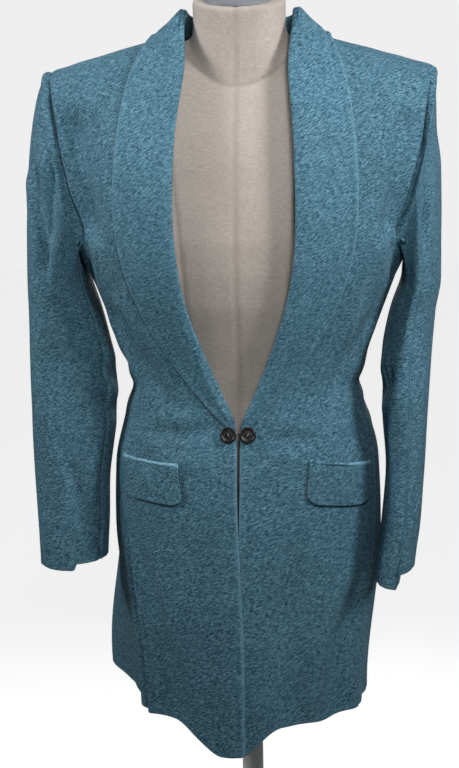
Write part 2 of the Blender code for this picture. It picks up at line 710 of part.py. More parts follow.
def sleeve_grid(rings, side):
    """Outer face of a sleeve and its outward directions, from armhole to cuff."""
    turn, level = armhole(side)
    start = coat(side * turn, level)
    body_out = coat_normal(side * turn, level)
    centre = start.mean(axis=0)
    sign = np.sign(np.sum(body_out * (start - np.array([0.0, 0.0, 1.1])), axis=-1, keepdims=True))
    body_out = body_out * sign
    first = rings[0]
    bicep = sleeve_ring(first, side)
    lateral = np.array([side, 0.0, 0.0])
    top = 0.5 + 0.5 * np.cos(np.radians(np.arange(SLEEVE_COLUMNS) * 360.0 / SLEEVE_COLUMNS))
    control = start.copy()
    control[:, 0] += 0.85 * (bicep[:, 0] - start[:, 0])
    control[:, 1] += 0.6 * (bicep[:, 1] - start[:, 1])
    control[:, 2] += (bicep[:, 2] - start[:, 2]) * (0.03 + 0.35 * (1.0 - top))
    rows = []
    for share in (0.0, 0.18, 0.34, 0.50, 0.66, 0.83, 1.0):
        rows.append(start * (1 - share) ** 2 + control * 2 * share * (1 - share) + bicep * share ** 2)
    away = unit(rows[1] - rows[0])
    rows[0] = rows[0] + away * 2.0 * SEAM_GAP + lateral * (0.0010 + 0.0008 * (1.0 - top[:, None]))
    levels = (1.045, 1.012, 0.980, 0.950, 0.920, 0.888, 0.855, 0.820, 0.785, 0.751)
    named = [Ring(*ring) for ring in rings]
    named.sort(key=lambda ring: ring.level)
    for height in levels:
        values = [float(column(named, name, height)) for name in Ring._fields[1:]]
        rows.append(sleeve_ring((height, *values), side))
    grid = np.stack(rows)
    normals = grid_normals(grid, ring=True)
    middle = grid.mean(axis=1, keepdims=True)
    if np.sum(normals[10] * (grid[10] - middle[10])) < 0.0:
        normals = -normals
    agree = np.clip(np.sum(normals[0] * body_out, axis=-1, keepdims=True), 0.0, 1.0)
    normals[0] = unit(normals[0] + 4.0 * agree * top[:, None] * body_out)
    for _ in range(2):
        beside = np.roll(normals, 1, axis=1) + np.roll(normals, -1, axis=1)
        below = normals.copy()
        below[:-1] = normals[1:]
        normals[:6] = unit(normals + 0.6 * beside + 0.5 * below)[:6]
    thick = np.full(grid.shape[:2] + (1,), CLOTH)
    thick[:4] = 0.6 * CLOTH
    return grid, normals, thick


def build_sleeves(group):
    """Two-piece sleeves: the top sleeve and the under sleeve of each."""
    for side, word, table in ((1.0, "left", SLEEVE_LEFT), (-1.0, "right", SLEEVE_RIGHT)):
        grid, normals, thick = sleeve_grid(table, side)
        order = np.arange(SLEEVE_COLUMNS)
        under = order[FRONT_SLEEVE_SEAM:BACK_SLEEVE_SEAM + 1]
        top = np.concatenate([order[BACK_SLEEVE_SEAM:], order[:FRONT_SLEEVE_SEAM + 1]])
        for part, picked in (("under", under), ("top", top)):
            name = "sleeve_" + part + "_" + word
            outer = inset(grid[:, picked], start=True, end=True, gap=SLEEVE_GAP)
            shell(name, outer, normals[:, picked], group, material(name + "_cloth", TEAL, 0.8), thick[:, picked])


def build_form(group):
    """Dress form: cloth-covered torso with neck, cap, pole and base."""
    levels = np.concatenate([
        np.linspace(FORM_FOOT, ARM_LEVEL, 11),
        ARM_LEVEL + np.array([0.2, 0.4, 0.57, 0.71, 0.82, 0.90, 0.95, 0.985]) * (TOP_LEVEL - ARM_LEVEL),
    ])
    turns = np.arange(0.0, 360.0, 12.0)
    drop = CLOTH + 0.0007
    grid = surface(turns[None, :], levels[:, None], FORM, drop=0.0)
    grid[levels > ARM_LEVEL, :, 2] -= (drop * ease((levels[levels > ARM_LEVEL] - ARM_LEVEL) / 0.1))[:, None]
    ridge = surface(turns, TOP_LEVEL, FORM, drop=drop)
    ridge[:, 2] -= neck_hollow(ridge)
    high = levels > ARM_LEVEL
    grid[high, :, 2] -= neck_hollow(grid[high]) * ease((levels[high] - ARM_LEVEL) / 0.1)[:, None]
    work = bmesh.new()
    rings = [[work.verts.new(tuple(point)) for point in row] for row in grid]
    count = len(turns)
    half = count // 2
    ridge_verts = [None] * count
    for step in range(count):
        pair = (half - step) % count
        if ridge_verts[pair] is not None:
            ridge_verts[step] = ridge_verts[pair]
            continue
        point = ridge[step]
        ridge_verts[step] = work.verts.new((point[0], 0.0, point[2]))
    rings.append(ridge_verts)
    for lower, upper in zip(rings, rings[1:]):
        for step in range(count):
            after = (step + 1) % count
            corners = []
            for vert in (lower[step], lower[after], upper[after], upper[step]):
                if vert not in corners:
                    corners.append(vert)
            if len(corners) > 2:
                work.faces.new(corners)
    work.faces.new(list(reversed(rings[0])))
    mesh = bpy.data.meshes.new("form_torso")
    work.to_mesh(mesh)
    work.free()
    face_outward(mesh)
    torso = add_object("form_torso", mesh, group, material("form_torso_cloth", LINEN, 0.85))
    cutters = collection("cutters", hidden=True)
    neck = build_neck(cutters)
    join = torso.modifiers.new("neck", "BOOLEAN")
    join.operation = "UNION"
    join.solver = "EXACT"
    join.object = neck
    build_cap(group)
    build_stand(group)


def neck_hollow(points):
    """How far the form's shoulders are eased down beside its neck."""
    return 0.009 * ease((0.100 - np.abs(points[..., 0])) / 0.030)


def neck_slant(place):
    """How far the neck's slanted top stands above or below its middle; the slant fades out further down."""
    return NECK_TOP_SLOPE * (place[1] + 0.010) * float(ease((place[2] - 1.345) / 0.035))


def build_neck(group):
    """Neck of the form, widening into the shoulders."""
    rows = ((1.215, 0.0500, 0.0360), (1.262, 0.0560, 0.0430), (1.300, 0.0585, 0.0490), (1.335, 0.0550, 0.0475),
            (1.355, 0.0520, 0.0455), (1.375, 0.0515, 0.0450), (FORM_TOP, 0.0530, 0.0460))
    work = bmesh.new()
    rings = []
    for height, half_width, half_depth in rows:
        ring = []
        for step in range(28):
            angle = 2.0 * math.pi * step / 28
            place = (half_width * math.cos(angle), -0.010 + half_depth * math.sin(angle), height)
            ring.append(work.verts.new((place[0], place[1], height + neck_slant(place))))
        rings.append(ring)
    for lower, upper in zip(rings, rings[1:]):
        for step in range(28):
            after = (step + 1) % 28
            work.faces.new((lower[step], lower[after], upper[after], upper[step]))
    work.faces.new(list(reversed(rings[0])))
    work.faces.new(rings[-1])
    mesh = bpy.data.meshes.new("neck")
    work.to_mesh(mesh)
    work.free()
    face_outward(mesh)
    neck = add_object("neck", mesh, group, material("neck_cloth", LINEN, 0.85))
    neck.hide_render = True
    neck.display_type = "WIRE"
    return neck


def build_cap(group):
    """Turned cap on the neck, slanted like the neck's top."""
    profile = ((0.0, 0.011), (0.020, 0.0100), (0.036, 0.0065), (0.0405, 0.003), (0.0405, 0.0), (0.0, 0.0))
    cap = turned("form_cap", profile, 32, group, material("form_cap_wood", CAP, 0.4))
    for vert in cap.data.vertices:
        vert.co.y = vert.co.y - 0.010
        vert.co.z = vert.co.z + FORM_TOP + SEAM_GAP
        vert.co.z = vert.co.z + neck_slant(vert.co)


def build_stand(group):
    """Pole and round base under the form."""
    top = FORM_FOOT - SEAM_GAP
    flange = ((0.0, top), (0.045, top), (0.045, top - 0.006), (POLE_RADIUS, top - 0.010),
              (POLE_RADIUS, POLE_FOOT), (0.0, POLE_FOOT))
    turned("form_pole", flange, 28, group, material("form_pole_metal", STAND, 0.35, 0.2))
    hub = POLE_FOOT - SEAM_GAP
    base = ((0.0, hub), (0.026, hub), (0.030, hub - 0.004), (0.034, 0.019), (0.060, 0.0155),
            (BASE_RADIUS - 0.020, 0.012), (BASE_RADIUS - 0.004, 0.009), (BASE_RADIUS, 0.005),
            (BASE_RADIUS, 0.0), (0.0, 0.0))
    turned("form_base", base, 44, group, material("form_base_metal", STAND, 0.35, 0.2))


def main():
    put_away()
    group = collection("coat_on_form")
    build_body(group)
    build_shawl(group)
    build_pockets(group)
    build_buttons(group)
    build_sleeves(group)
    build_form(group)


main()
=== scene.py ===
"""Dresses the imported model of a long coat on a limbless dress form.

Metres, Z up.  The wearer's left is +X, the front faces -Y and the stand's foot is at Z = 0.  A place on the
coat's body is given by its turn (degrees from centre front, positive to the wearer's left) and its level
(height; above the armholes the level runs up to the sloping shoulder line).  A place on a sleeve is given by
its turn (0 outside, 90 in front, 180 inside) and its height.  Every cloth piece is a thin closed shell.
"""
from collections import namedtuple

import bpy
import numpy as np
from mathutils import Matrix, Vector


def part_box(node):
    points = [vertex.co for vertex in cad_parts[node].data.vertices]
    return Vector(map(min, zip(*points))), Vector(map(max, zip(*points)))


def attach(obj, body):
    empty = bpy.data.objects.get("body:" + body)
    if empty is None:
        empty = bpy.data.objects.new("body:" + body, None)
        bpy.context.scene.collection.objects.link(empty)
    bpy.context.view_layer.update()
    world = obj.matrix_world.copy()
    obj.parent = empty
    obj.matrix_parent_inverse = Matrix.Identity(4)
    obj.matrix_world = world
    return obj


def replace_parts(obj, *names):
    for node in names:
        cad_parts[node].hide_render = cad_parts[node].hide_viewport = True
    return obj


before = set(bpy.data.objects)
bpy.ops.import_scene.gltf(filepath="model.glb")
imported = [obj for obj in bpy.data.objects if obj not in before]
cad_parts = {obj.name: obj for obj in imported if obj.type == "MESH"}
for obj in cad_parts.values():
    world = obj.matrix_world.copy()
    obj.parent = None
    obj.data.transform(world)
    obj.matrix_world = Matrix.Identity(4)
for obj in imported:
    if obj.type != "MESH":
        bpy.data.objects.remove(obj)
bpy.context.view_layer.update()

bl_info = {
    "name": "Long coat on a dress form",
    "version": (1, 0, 0),
    "blender": (4, 5, 0),
    "location": "View3D > Sidebar > Coat",
    "description": "Builds the cloth, buttons, dress form cover and studio of a long shawl-collared coat",
    "category": "Object",
}

# Sides of the coat: 1 is the wearer's left.
SIDES = (1.0, -1.0)
CLOTH = 0.0020
ARM_LEVEL = 1.125
TOP_LEVEL = 1.300
HEM_LEVEL = 0.594
BUTTON_LEVEL = 0.917
SHOULDER_SLOPE = 0.28
SHOULDER_AT_CENTRE = 1.370
SKIRT_LEVEL = 0.840
PROW_WIDTH = 0.045
SWELL = 0.0006
BODY_ROWS = 184
YOKE_ROWS = 83
FRONT_COLUMNS = 78
SIDE_COLUMNS = 56
UNDERARM_DIP = 0.012
# Seams sink by a little over a narrow width, and the cloth is paler over a narrow band along hems and edges.
SEAM_SINK = 0.0013
SEAM_WIDTH = 0.0032
HEM_PALE_BAND = 0.0018
EDGE_PALE_BAND = 0.0022
# Share of the pale edge colour laid along the darts: a painted highlight on the dart ridges.
DART_PAINTED_HIGHLIGHT = 0.45
# Length on the cloth that a degree of turn stands for, where creases are measured.
BODY_DEGREE = 0.0024
SLEEVE_DEGREE = 0.00092
# Where each kind of piece starts in the weave, so that neighbours don't show the same yarns.
WEAVE_START = {"front": 0.31, "side": 1.7, "back": 3.3, "shawl": 5.1, "sleeve": 8.0, "laid": 11.0}
# Steps and weights with which a table is read softly between its rows.
FINE_STEPS = ((-1.0, 1.0), (-0.66, 2.0), (-0.33, 3.0), (0.0, 4.0), (0.33, 3.0), (0.66, 2.0), (1.0, 1.0))
WIDE_STEPS = ((-1.0, 1.0), (-0.5, 2.0), (0.0, 3.0), (0.5, 2.0), (1.0, 1.0))


def rows_of(kind, *rows):
    """A table: each row becomes one of the kind."""
    return tuple(kind(*row) for row in rows)


Section = namedtuple("Section", "level half_width front back square prow front_seam back_seam")
COAT = rows_of(
    Section,
    (0.560, 0.155, 0.147, 0.152, 2.20, 0.020, 57, 116),
    (0.650, 0.155, 0.143, 0.147, 2.20, 0.014, 60, 116),
    (0.750, 0.154, 0.138, 0.140, 2.20, 0.007, 67, 116),
    (0.830, 0.153, 0.132, 0.131, 2.25, 0.002, 72, 117),
    (0.880, 0.151, 0.125, 0.121, 2.30, 0.000, 72, 117),
    (0.915, 0.141, 0.115, 0.104, 2.30, 0.000, 70, 117),
    (0.950, 0.130, 0.107, 0.088, 2.30, 0.000, 68, 117),
    (0.985, 0.136, 0.107, 0.087, 2.30, 0.000, 66, 117),
    (1.020, 0.149, 0.114, 0.093, 2.35, 0.000, 64, 117),
    (1.060, 0.164, 0.122, 0.101, 2.40, 0.000, 62, 118),
    (1.100, 0.179, 0.127, 0.106, 2.50, 0.000, 62, 118),
    (1.125, 0.188, 0.126, 0.108, 2.55, 0.000, 62, 118),
    (1.170, 0.204, 0.126, 0.108, 2.65, 0.000, 61, 118),
    (1.210, 0.216, 0.126, 0.108, 2.80, 0.000, 60, 119),
    (1.260, 0.228, 0.126, 0.108, 2.90, 0.000, 57, 122),
    (1.300, 0.235, 0.126, 0.108, 3.00, 0.000, 55, 125),
)

# Folds that run down the skirt, faint at the top level and full at the hem; a positive depth stands out.
Fold = namedtuple("Fold", "top_level top_turn hem_turn depth width")
FOLDS = rows_of(
    Fold,
    (0.80, -72, -66, -0.022, 14),
    (0.80, -88, -86, -0.014, 12),
    (0.86, -118, -123, 0.046, 20),
    (0.84, -50, -30, -0.007, 8),
    (0.78, 54, 43, -0.009, 8),
    (0.78, 76, 72, -0.014, 14),
    (0.78, 98, 100, -0.019, 22),
    (0.84, 146, 152, -0.009, 11),
    (0.86, -142, -150, -0.008, 11),
)
# The hem's point at centre front: its depth, its half widths and the flat run on the wearer's right.
HEM_DIP = 0.030
HEM_DIP_FLAT = 0.022
HEM_DIP_RIGHT = 0.055
HEM_DIP_LEFT = 0.047
# On the wearer's right the side seam runs forward below this level, by this many degrees, and the front's
# lower edge laps over by this much.
SEAM_TURNS = 0.872
SEAM_FORWARD = 14.0
LAP_LEVEL = 0.835
LAP = 0.0052

# Front edge from the hem up, and above the closure the line the lapel rolls on.
Edge = namedtuple("Edge", "height x")
FRONT_EDGE = rows_of(
    Edge,
    (0.540, 0.0005),
    (0.800, 0.0006),
    (0.860, 0.0022),
    (0.917, 0.0024),
    (0.950, 0.0190),
    (0.987, 0.0350),
    (1.023, 0.0480),
    (1.056, 0.0585),
    (1.090, 0.0655),
    (1.122, 0.0700),
    (1.153, 0.0715),
    (1.195, 0.0710),
    (1.236, 0.0700),
    (1.277, 0.0690),
    (1.319, 0.0685),
    (1.351, 0.0690),
)
Lapel = namedtuple("Lapel", "base_height edge_x edge_height stand")
LAPEL = rows_of(
    Lapel,
    (0.9210, 0.0095, 0.9185, 0.0012),
    (0.9295, 0.0150, 0.9275, 0.0012),
    (0.938, 0.0250, 0.936, 0.0012),
    (0.955, 0.0412, 0.954, 0.0012),
    (0.980, 0.0570, 0.974, 0.0012),
    (1.005, 0.0735, 0.997, 0.0012),
    (1.030, 0.0905, 1.022, 0.0012),
    (1.056, 0.1040, 1.049, 0.0012),
    (1.083, 0.1160, 1.078, 0.0012),
    (1.110, 0.1245, 1.107, 0.0012),
    (1.140, 0.1300, 1.138, 0.0012),
    (1.172, 0.1318, 1.171, 0.0012),
    (1.205, 0.1308, 1.204, 0.0012),
    (1.238, 0.1285, 1.236, 0.0018),
    (1.270, 0.1248, 1.266, 0.0040),
    (1.300, 0.1200, 1.293, 0.0085),
    (1.328, 0.1120, 1.3178, 0.0150),
    (1.3506, 0.0990, 1.3422, 0.0210),
)
NECK_X = 0.069
NECK_BACK_DROP = 0.0235
COLLAR_EDGE_X = 0.099
COLLAR_BACK_DROP = 0.0480
COLLAR_STAND_SIDE = 0.021
COLLAR_STAND_BACK = 0.027
STAND_LEAN = 0.30
ROLL_RADIUS = 0.0026
LAPEL_LIFT = 0.0034
LAPEL_SEAT = 0.0012
# Share of its roll that the lapel keeps at its lowest point, and the height over which it grows to full.
LAPEL_POINT_ROLL = 0.30
LAPEL_POINT_RUN = 0.016
SHAWL_FRONT_ROWS = 150
SHAWL_BACK_ROWS = 60

# Creases placed on the body: a negative depth is a trough; beside it the cloth stands up by `ridge` times
# the depth.  The line's points are (turn, level).
Crease = namedtuple("Crease", "depth width ridge line")
BODY_CREASES = rows_of(
    Crease,
    (-0.0016, 0.0030, 0.5,
     ((-49, 1.110), (-50, 1.022), (-44, 0.985), (-39, 0.946), (-31, 0.912), (-27, 0.892))),
    (-0.0016, 0.0030, 0.5, ((49, 1.110), (52, 1.035), (52, 1.003), (50, 0.958), (43, 0.922), (39, 0.892))),
    (-0.0036, 0.0085, 0.6, ((-13, 0.921), (-28, 0.915), (-44, 0.918))),
    (-0.0026, 0.0080, 0.6, ((-15, 0.905), (-26, 0.898), (-38, 0.901))),
    (-0.0030, 0.0085, 0.5, ((13, 0.916), (24, 0.908), (35, 0.909))),
    (-0.0034, 0.0120, 0.5, ((-52, 0.966), (-74, 0.957), (-104, 0.962))),
    (-0.0024, 0.0100, 0.5, ((-60, 0.985), (-84, 0.982), (-112, 0.990))),
    (-0.0030, 0.0115, 0.5, ((50, 0.966), (76, 0.955), (106, 0.960))),
    (-0.0020, 0.0090, 0.5, ((62, 0.932), (84, 0.928), (104, 0.934))),
    (-0.0165, 0.0190, 0.1, ((-47, 1.262), (-50, 1.200), (-54, 1.120))),
    (-0.0120, 0.0180, 0.1, ((47, 1.256), (51, 1.190), (56, 1.120))),
    (-0.0040, 0.0100, 0.6, ((-50, 1.190), (-58, 1.130), (-72, 1.070))),
    (-0.0036, 0.0100, 0.6, ((51, 1.180), (60, 1.120), (76, 1.070))),
    (-0.0050, 0.0160, 0.5, ((-62, 1.060), (-50, 1.000), (-40, 0.950))),
    (-0.0036, 0.0140, 0.5, ((66, 1.050), (56, 1.000), (47, 0.950))),
    (-0.0022, 0.0090, 0.5, ((-50, 0.804), (-41, 0.749), (-35, 0.700), (-30, 0.655), (-26, 0.590))),
    (-0.0034, 0.0110, 0.5, ((62, 0.765), (56, 0.742), (47, 0.707), (42, 0.674), (40, 0.600))),
    (-0.0018, 0.0110, 0.4, ((-10, 0.780), (-12, 0.700), (-13, 0.600))),
    (-0.0022, 0.0120, 0.4, ((22, 0.700), (20, 0.650), (19, 0.590))),
    (-0.0028, 0.0110, 0.5, ((128, 0.968), (150, 0.956), (174, 0.962))),
    (-0.0024, 0.0100, 0.5, ((-126, 0.976), (-152, 0.962), (-176, 0.968))),
    (-0.0022, 0.0090, 0.5, ((132, 0.938), (152, 0.932), (170, 0.936))),
    (-0.0034, 0.0150, 0.3, ((132, 1.250), (128, 1.190), (124, 1.130))),
    (-0.0034, 0.0150, 0.3, ((-134, 1.245), (-129, 1.185), (-124, 1.130))),
    (-0.0030, 0.0120, 0.4, ((160, 0.820), (163, 0.720), (165, 0.590))),
    (-0.0026, 0.0120, 0.4, ((-166, 0.800), (-168, 0.700), (-171, 0.590))),
)

# The darts' lines as bells of height one, used only to paint a highlight along each dart's ridge.
DART_HIGHLIGHT_LINES = tuple(crease._replace(depth=1.0, width=0.0028, ridge=0.0) for crease in BODY_CREASES[:2])

Ring = namedtuple("Ring", "level centre_x centre_y half_width half_depth")
SLEEVE_RIGHT = rows_of(
    Ring,
    (1.075, 0.2140, 0.002, 0.0350, 0.063),
    (1.045, 0.2080, 0.002, 0.0410, 0.061),
    (1.000, 0.2025, 0.000, 0.0470, 0.058),
    (0.960, 0.1990, -0.006, 0.0500, 0.055),
    (0.905, 0.1990, -0.016, 0.0480, 0.052),
    (0.850, 0.2015, -0.024, 0.0425, 0.050),
    (0.795, 0.1995, -0.036, 0.0410, 0.047),
    (0.751, 0.1985, -0.046, 0.0385, 0.044),
)
SLEEVE_LEFT = rows_of(
    Ring,
    (1.075, 0.1990, 0.006, 0.0195, 0.070),
    (1.045, 0.1910, 0.006, 0.0255, 0.069),
    (1.000, 0.1840, -0.006, 0.0285, 0.067),
    (0.960, 0.1825, -0.024, 0.0270, 0.063),
    (0.915, 0.1815, -0.034, 0.0245, 0.060),
    (0.875, 0.1822, -0.044, 0.0215, 0.057),
    (0.835, 0.1795, -0.056, 0.0215, 0.054),
    (0.795, 0.1760, -0.066, 0.0220, 0.051),
    (0.751, 0.1690, -0.080, 0.0225, 0.048),
)
SLEEVE_COLUMNS = 96
UNDERARM_START = 36
UNDERARM_COLUMNS = 24
FRONT_SLEEVE_SEAM = 40
BACK_SLEEVE_SEAM = 68
BICEP_ROWS = 46
CUFF_LEVEL = 0.751
# The sleeve's first row runs in under the body's edge, which dips along the armhole.
SEAM_TUCK = 0.0055
TUCK_DEPTH = 0.0070
ARMHOLE_DIP = 0.0030
ARMHOLE_FADE = 1.292
ROPE_HEIGHT = 0.0034
# How far each line of the sleeve head bends outward and forward before it falls, in shares of its way to the
# ring at the upper arm.
BEND_OUT = 0.85
BEND_AHEAD = 0.60
SLEEVE_ROWS = 115
SMOOTHING_ROUNDS = 10
# Creases of the sleeves; the line's points are (turn, height).
SLEEVE_CREASES_RIGHT = rows_of(
    Crease,
    (-0.0085, 0.0095, 0.5, ((36, 1.215), (58, 1.182), (78, 1.130), (84, 1.080))),
    (-0.0075, 0.0075, 0.5, ((66, 1.240), (78, 1.195), (90, 1.150), (97, 1.115))),
    (-0.0030, 0.0170, 0.3, ((80, 1.010), (76, 0.950), (78, 0.880))),
    (-0.0042, 0.0100, 0.5, ((100, 0.880), (109, 0.842), (130, 0.790))),
    (-0.0036, 0.0110, 0.5, ((120, 1.000), (150, 0.972), (186, 0.960))),
    (-0.0030, 0.0100, 0.5, ((130, 0.950), (160, 0.930), (190, 0.925))),
    (-0.0014, 0.0028, 0.6, ((84, 0.800), (85, 0.775), (86, 0.748))),
    (-0.0036, 0.0120, 0.4, ((330, 1.190), (306, 1.140), (290, 1.080))),
    (-0.0034, 0.0120, 0.4, ((300, 0.985), (270, 0.962), (236, 0.955))),
    (-0.0026, 0.0100, 0.4, ((310, 0.880), (296, 0.840), (290, 0.800))),
)
SLEEVE_CREASES_LEFT = rows_of(
    Crease,
    (0.0045, 0.0480, 0.0, ((0, 1.240), (0, 1.150), (0, 1.040))),
    (0.0026, 0.0110, 0.3, ((96, 1.190), (97, 1.100), (99, 1.030), (110, 0.965), (123, 0.925), (148, 0.865))),
    (-0.0048, 0.0085, 0.5, ((60, 1.215), (72, 1.170), (78, 1.110))),
    (-0.0026, 0.0028, 0.5, ((20, 0.856), (34, 0.844), (58, 0.828), (70, 0.802), (84, 0.768), (86, 0.735))),
    (-0.0030, 0.0110, 0.4, ((70, 0.990), (62, 0.930), (60, 0.880))),
    (-0.0034, 0.0110, 0.5, ((120, 0.980), (150, 0.958), (186, 0.950))),
    (-0.0036, 0.0120, 0.4, ((326, 1.180), (304, 1.130), (290, 1.080))),
    (-0.0030, 0.0110, 0.4, ((300, 0.970), (268, 0.950), (236, 0.948))),
    (-0.0024, 0.0100, 0.4, ((320, 0.860), (300, 0.820), (292, 0.780))),
)

# Pocket flaps of each side: where they start and end, the height of both top corners, and both depths.
Pocket = namedtuple("Pocket", "inner_x outer_x inner_top outer_top inner_depth outer_depth")
POCKET_LEFT = Pocket(0.0770, 0.1410, 0.8840, 0.8710, 0.0425, 0.0425)
POCKET_RIGHT = Pocket(0.0660, 0.1320, 0.8800, 0.8815, 0.0415, 0.0400)
FLAP_CORNER = 0.0125
FLAP_LEAN = 0.0045
WELT_DEPTH = 0.0038
LAID_CLOTH = 0.0016
FLAP_LIFT = 0.0014
WELT_LIFT = 0.0013
WELT_GAP = 0.0004
BUTTON_X = 0.0106
BUTTON_RADIUS = 0.0090
BUTTON_HALF = 0.0018
THREAD = 0.00042
LINK_TURNS = 11.0
LINK_WIND = 0.0008

# Flat cut of each cloth piece of one side: width and length of the rectangle it comes from, and its area.
Cut = namedtuple("Cut", "width length area")


def ease(share):
    """Smooth step from 0 to 1."""
    share = np.clip(share, 0.0, 1.0)
    return share * share * (3.0 - 2.0 * share)


def bell(distance, width):
    """Smooth bump: 1 at no distance, near 0 beyond twice the width."""
    return np.exp(-(distance / width) ** 2)


def word(side):
    return "left" if side > 0.0 else "right"


ON_PLAN = np.array([1.0, 1.0, 0.0])
UPRIGHT = np.array([0.0, 0.0, 1.0])


def unit(vectors):
    return vectors / np.maximum(np.linalg.norm(vectors, axis=-1, keepdims=True), 1e-12)


def soft_read(at, places, values, reach, steps):
    """A line through places and values, read as a weighted mean of a few steps within a reach."""
    total = sum(weight * np.interp(at + step * reach, places, values) for step, weight in steps)
    return total / sum(weight for _, weight in steps)


def column(rows, name, at, reach=0.016):
    """A table's column read at any level: straight between rows, averaged over a short reach each way."""
    levels = np.array([row.level for row in rows])
    values = np.array([getattr(row, name) for row in rows], dtype=float)
    order = np.argsort(levels)
    return soft_read(np.asarray(at, dtype=float), levels[order], values[order], reach, FINE_STEPS)


def shoulder_height(x):
    """The shoulder line falls evenly from the neck outward."""
    return SHOULDER_AT_CENTRE - SHOULDER_SLOPE * np.abs(x)


def section_surface(turn, level):
    """Plain body surface.

    Each level's outline is a rounded rectangle, |x/width| and |y/depth| each raised to the row's `square`
    and summing to 1, with a low ridge at centre front.  Above the armholes the depth shrinks to nothing as
    the level nears the shoulder line.
    """
    turn, level = np.broadcast_arrays(np.asarray(turn, float), np.asarray(level, float))
    share = (level - ARM_LEVEL) / (TOP_LEVEL - ARM_LEVEL)
    mirror = np.where(share > 1.0, -1.0, 1.0)
    share = np.clip(np.where(share > 1.0, 2.0 - share, share), 0.0, 1.0)
    held = np.minimum(level, ARM_LEVEL)
    capped = np.minimum(level, TOP_LEVEL)
    half_width = column(COAT, "half_width", capped)
    square = column(COAT, "square", capped)
    front = column(COAT, "front", held) * (1.0 - share ** 1.6) ** 0.555
    back = column(COAT, "back", held) * (1.0 - share ** 2.2) ** 0.5
    prow = column(COAT, "prow", capped)
    angle = np.radians(turn)
    side, ahead = np.sin(angle), np.cos(angle)
    reach = (np.abs(side) ** square + np.abs(ahead) ** square) ** (-1.0 / square)
    x = half_width * reach * side
    y = -np.where(ahead > 0.0, front, back) * reach * ahead * mirror
    y = y - np.where(ahead > 0.0, prow, 0.0) * bell(x, PROW_WIDTH)
    z = np.where(level <= ARM_LEVEL, level, ARM_LEVEL + share * (shoulder_height(x) - ARM_LEVEL))
    return np.stack([x, y, z], axis=-1)


def fold_push(turn, level):
    """How far the skirt's folds stand out: a bell across each line, growing from its top to the hem."""
    turn, level = np.broadcast_arrays(np.asarray(turn, float), np.asarray(level, float))
    push = np.zeros(turn.shape)
    for fold in FOLDS:
        down = (fold.top_level - level) / (fold.top_level - HEM_LEVEL)
        line = fold.top_turn + (fold.hem_turn - fold.top_turn) * np.clip(down, 0.0, 1.0)
        push = push + fold.depth * ease(down) * bell(turn - line, fold.width)
    return push


def coat(turn, level):
    """Outer face of the coat's body with its skirt folds, and the hem dipping to a point at centre front."""
    points = section_surface(turn, level)
    points = points + unit(points * ON_PLAN) * fold_push(turn, level)[..., None]
    to_right = points[..., 0] < 0.0
    flat_run = np.where(to_right, HEM_DIP_FLAT, 0.0)
    near = 1.0 - (np.abs(points[..., 0]) - flat_run) / np.where(to_right, HEM_DIP_RIGHT, HEM_DIP_LEFT)
    ahead = np.where(points[..., 1] < 0.0, 1.0, 0.0)
    low = ease((SKIRT_LEVEL - points[..., 2]) / (SKIRT_LEVEL - HEM_LEVEL))
    points[..., 2] = points[..., 2] - HEM_DIP * ease(near) * ahead * low
    return points


def coat_normal(turn, level):
    """Outward direction of the coat's body, from small steps along turn and level."""
    turn, level = np.broadcast_arrays(np.asarray(turn, float), np.asarray(level, float))
    across = coat(turn + 0.1, level) - coat(turn - 0.1, level)
    upward = coat(turn, level + 0.0004) - coat(turn, level - 0.0004)
    return unit(np.cross(across, upward))


def turn_at(x, level, back=False):
    """The turn at which the plain section reaches x."""
    half_width = column(COAT, "half_width", np.minimum(level, TOP_LEVEL))
    square = column(COAT, "square", np.minimum(level, TOP_LEVEL))
    share = np.clip(np.abs(x) / half_width, 0.0, 0.9999)
    rest = (1.0 - share ** square) ** (1.0 / square)
    turn = np.degrees(np.arctan2(share, rest))
    turn = 180.0 - turn if back else turn
    return np.sign(x) * turn


def level_at(x, height):
    """The level whose real height at x is the one given."""
    share = (height - ARM_LEVEL) / (shoulder_height(x) - ARM_LEVEL)
    above = ARM_LEVEL + np.clip(share, 0.0, 1.0) * (TOP_LEVEL - ARM_LEVEL)
    return np.where(height <= ARM_LEVEL, height, above)


def front_edge_x(level):
    """Distance of the front edge, or of the roll line, from the centre."""
    heights = np.array([edge.height for edge in FRONT_EDGE])
    sides = np.array([edge.x for edge in FRONT_EDGE])
    levels = level_at(sides, heights)
    levels[-1] = TOP_LEVEL
    return soft_read(level, levels, sides, 0.008, WIDE_STEPS)


def crease_push(turn, height, creases, per_degree, round_the_back=False):
    """Creases as soft troughs.

    Distance to the crease's line is measured with turns taken as lengths.  The trough is a bell of that
    distance, the ridge beside it a wider and flatter one, and both fade out towards the line's ends.
    """
    push = np.zeros(np.broadcast(turn, height).shape)
    across = np.asarray(turn, float) * per_degree
    for crease in creases:
        points = np.array(crease.line, dtype=float) * np.array([per_degree, 1.0])
        nearest = np.full(push.shape, 1e9)
        along = np.zeros(push.shape)
        lengths = np.linalg.norm(np.diff(points, axis=0), axis=1)
        run = np.concatenate([[0.0], np.cumsum(lengths)])
        for index, length in enumerate(lengths):
            start, direction = points[index], (points[index + 1] - points[index]) / length
            offset_x, offset_z = across - start[0], height - start[1]
            if round_the_back:
                wrap = 360.0 * per_degree
                offset_x = (offset_x + wrap / 2.0) % wrap - wrap / 2.0
            share = np.clip(offset_x * direction[0] + offset_z * direction[1], 0.0, length)
            away = np.hypot(offset_x - share * direction[0], offset_z - share * direction[1])
            closer = away < nearest
            nearest = np.where(closer, away, nearest)
            along = np.where(closer, run[index] + share, along)
        part = along / run[-1]
        fade = ease(part / 0.22 + 0.15) * ease((1.0 - part) / 0.22 + 0.15)
        trough = bell(nearest, crease.width)
        beside = bell(nearest - 1.9 * crease.width, 1.1 * crease.width)
        push = push + crease.depth * fade * (trough - crease.ridge * beside)
    return push


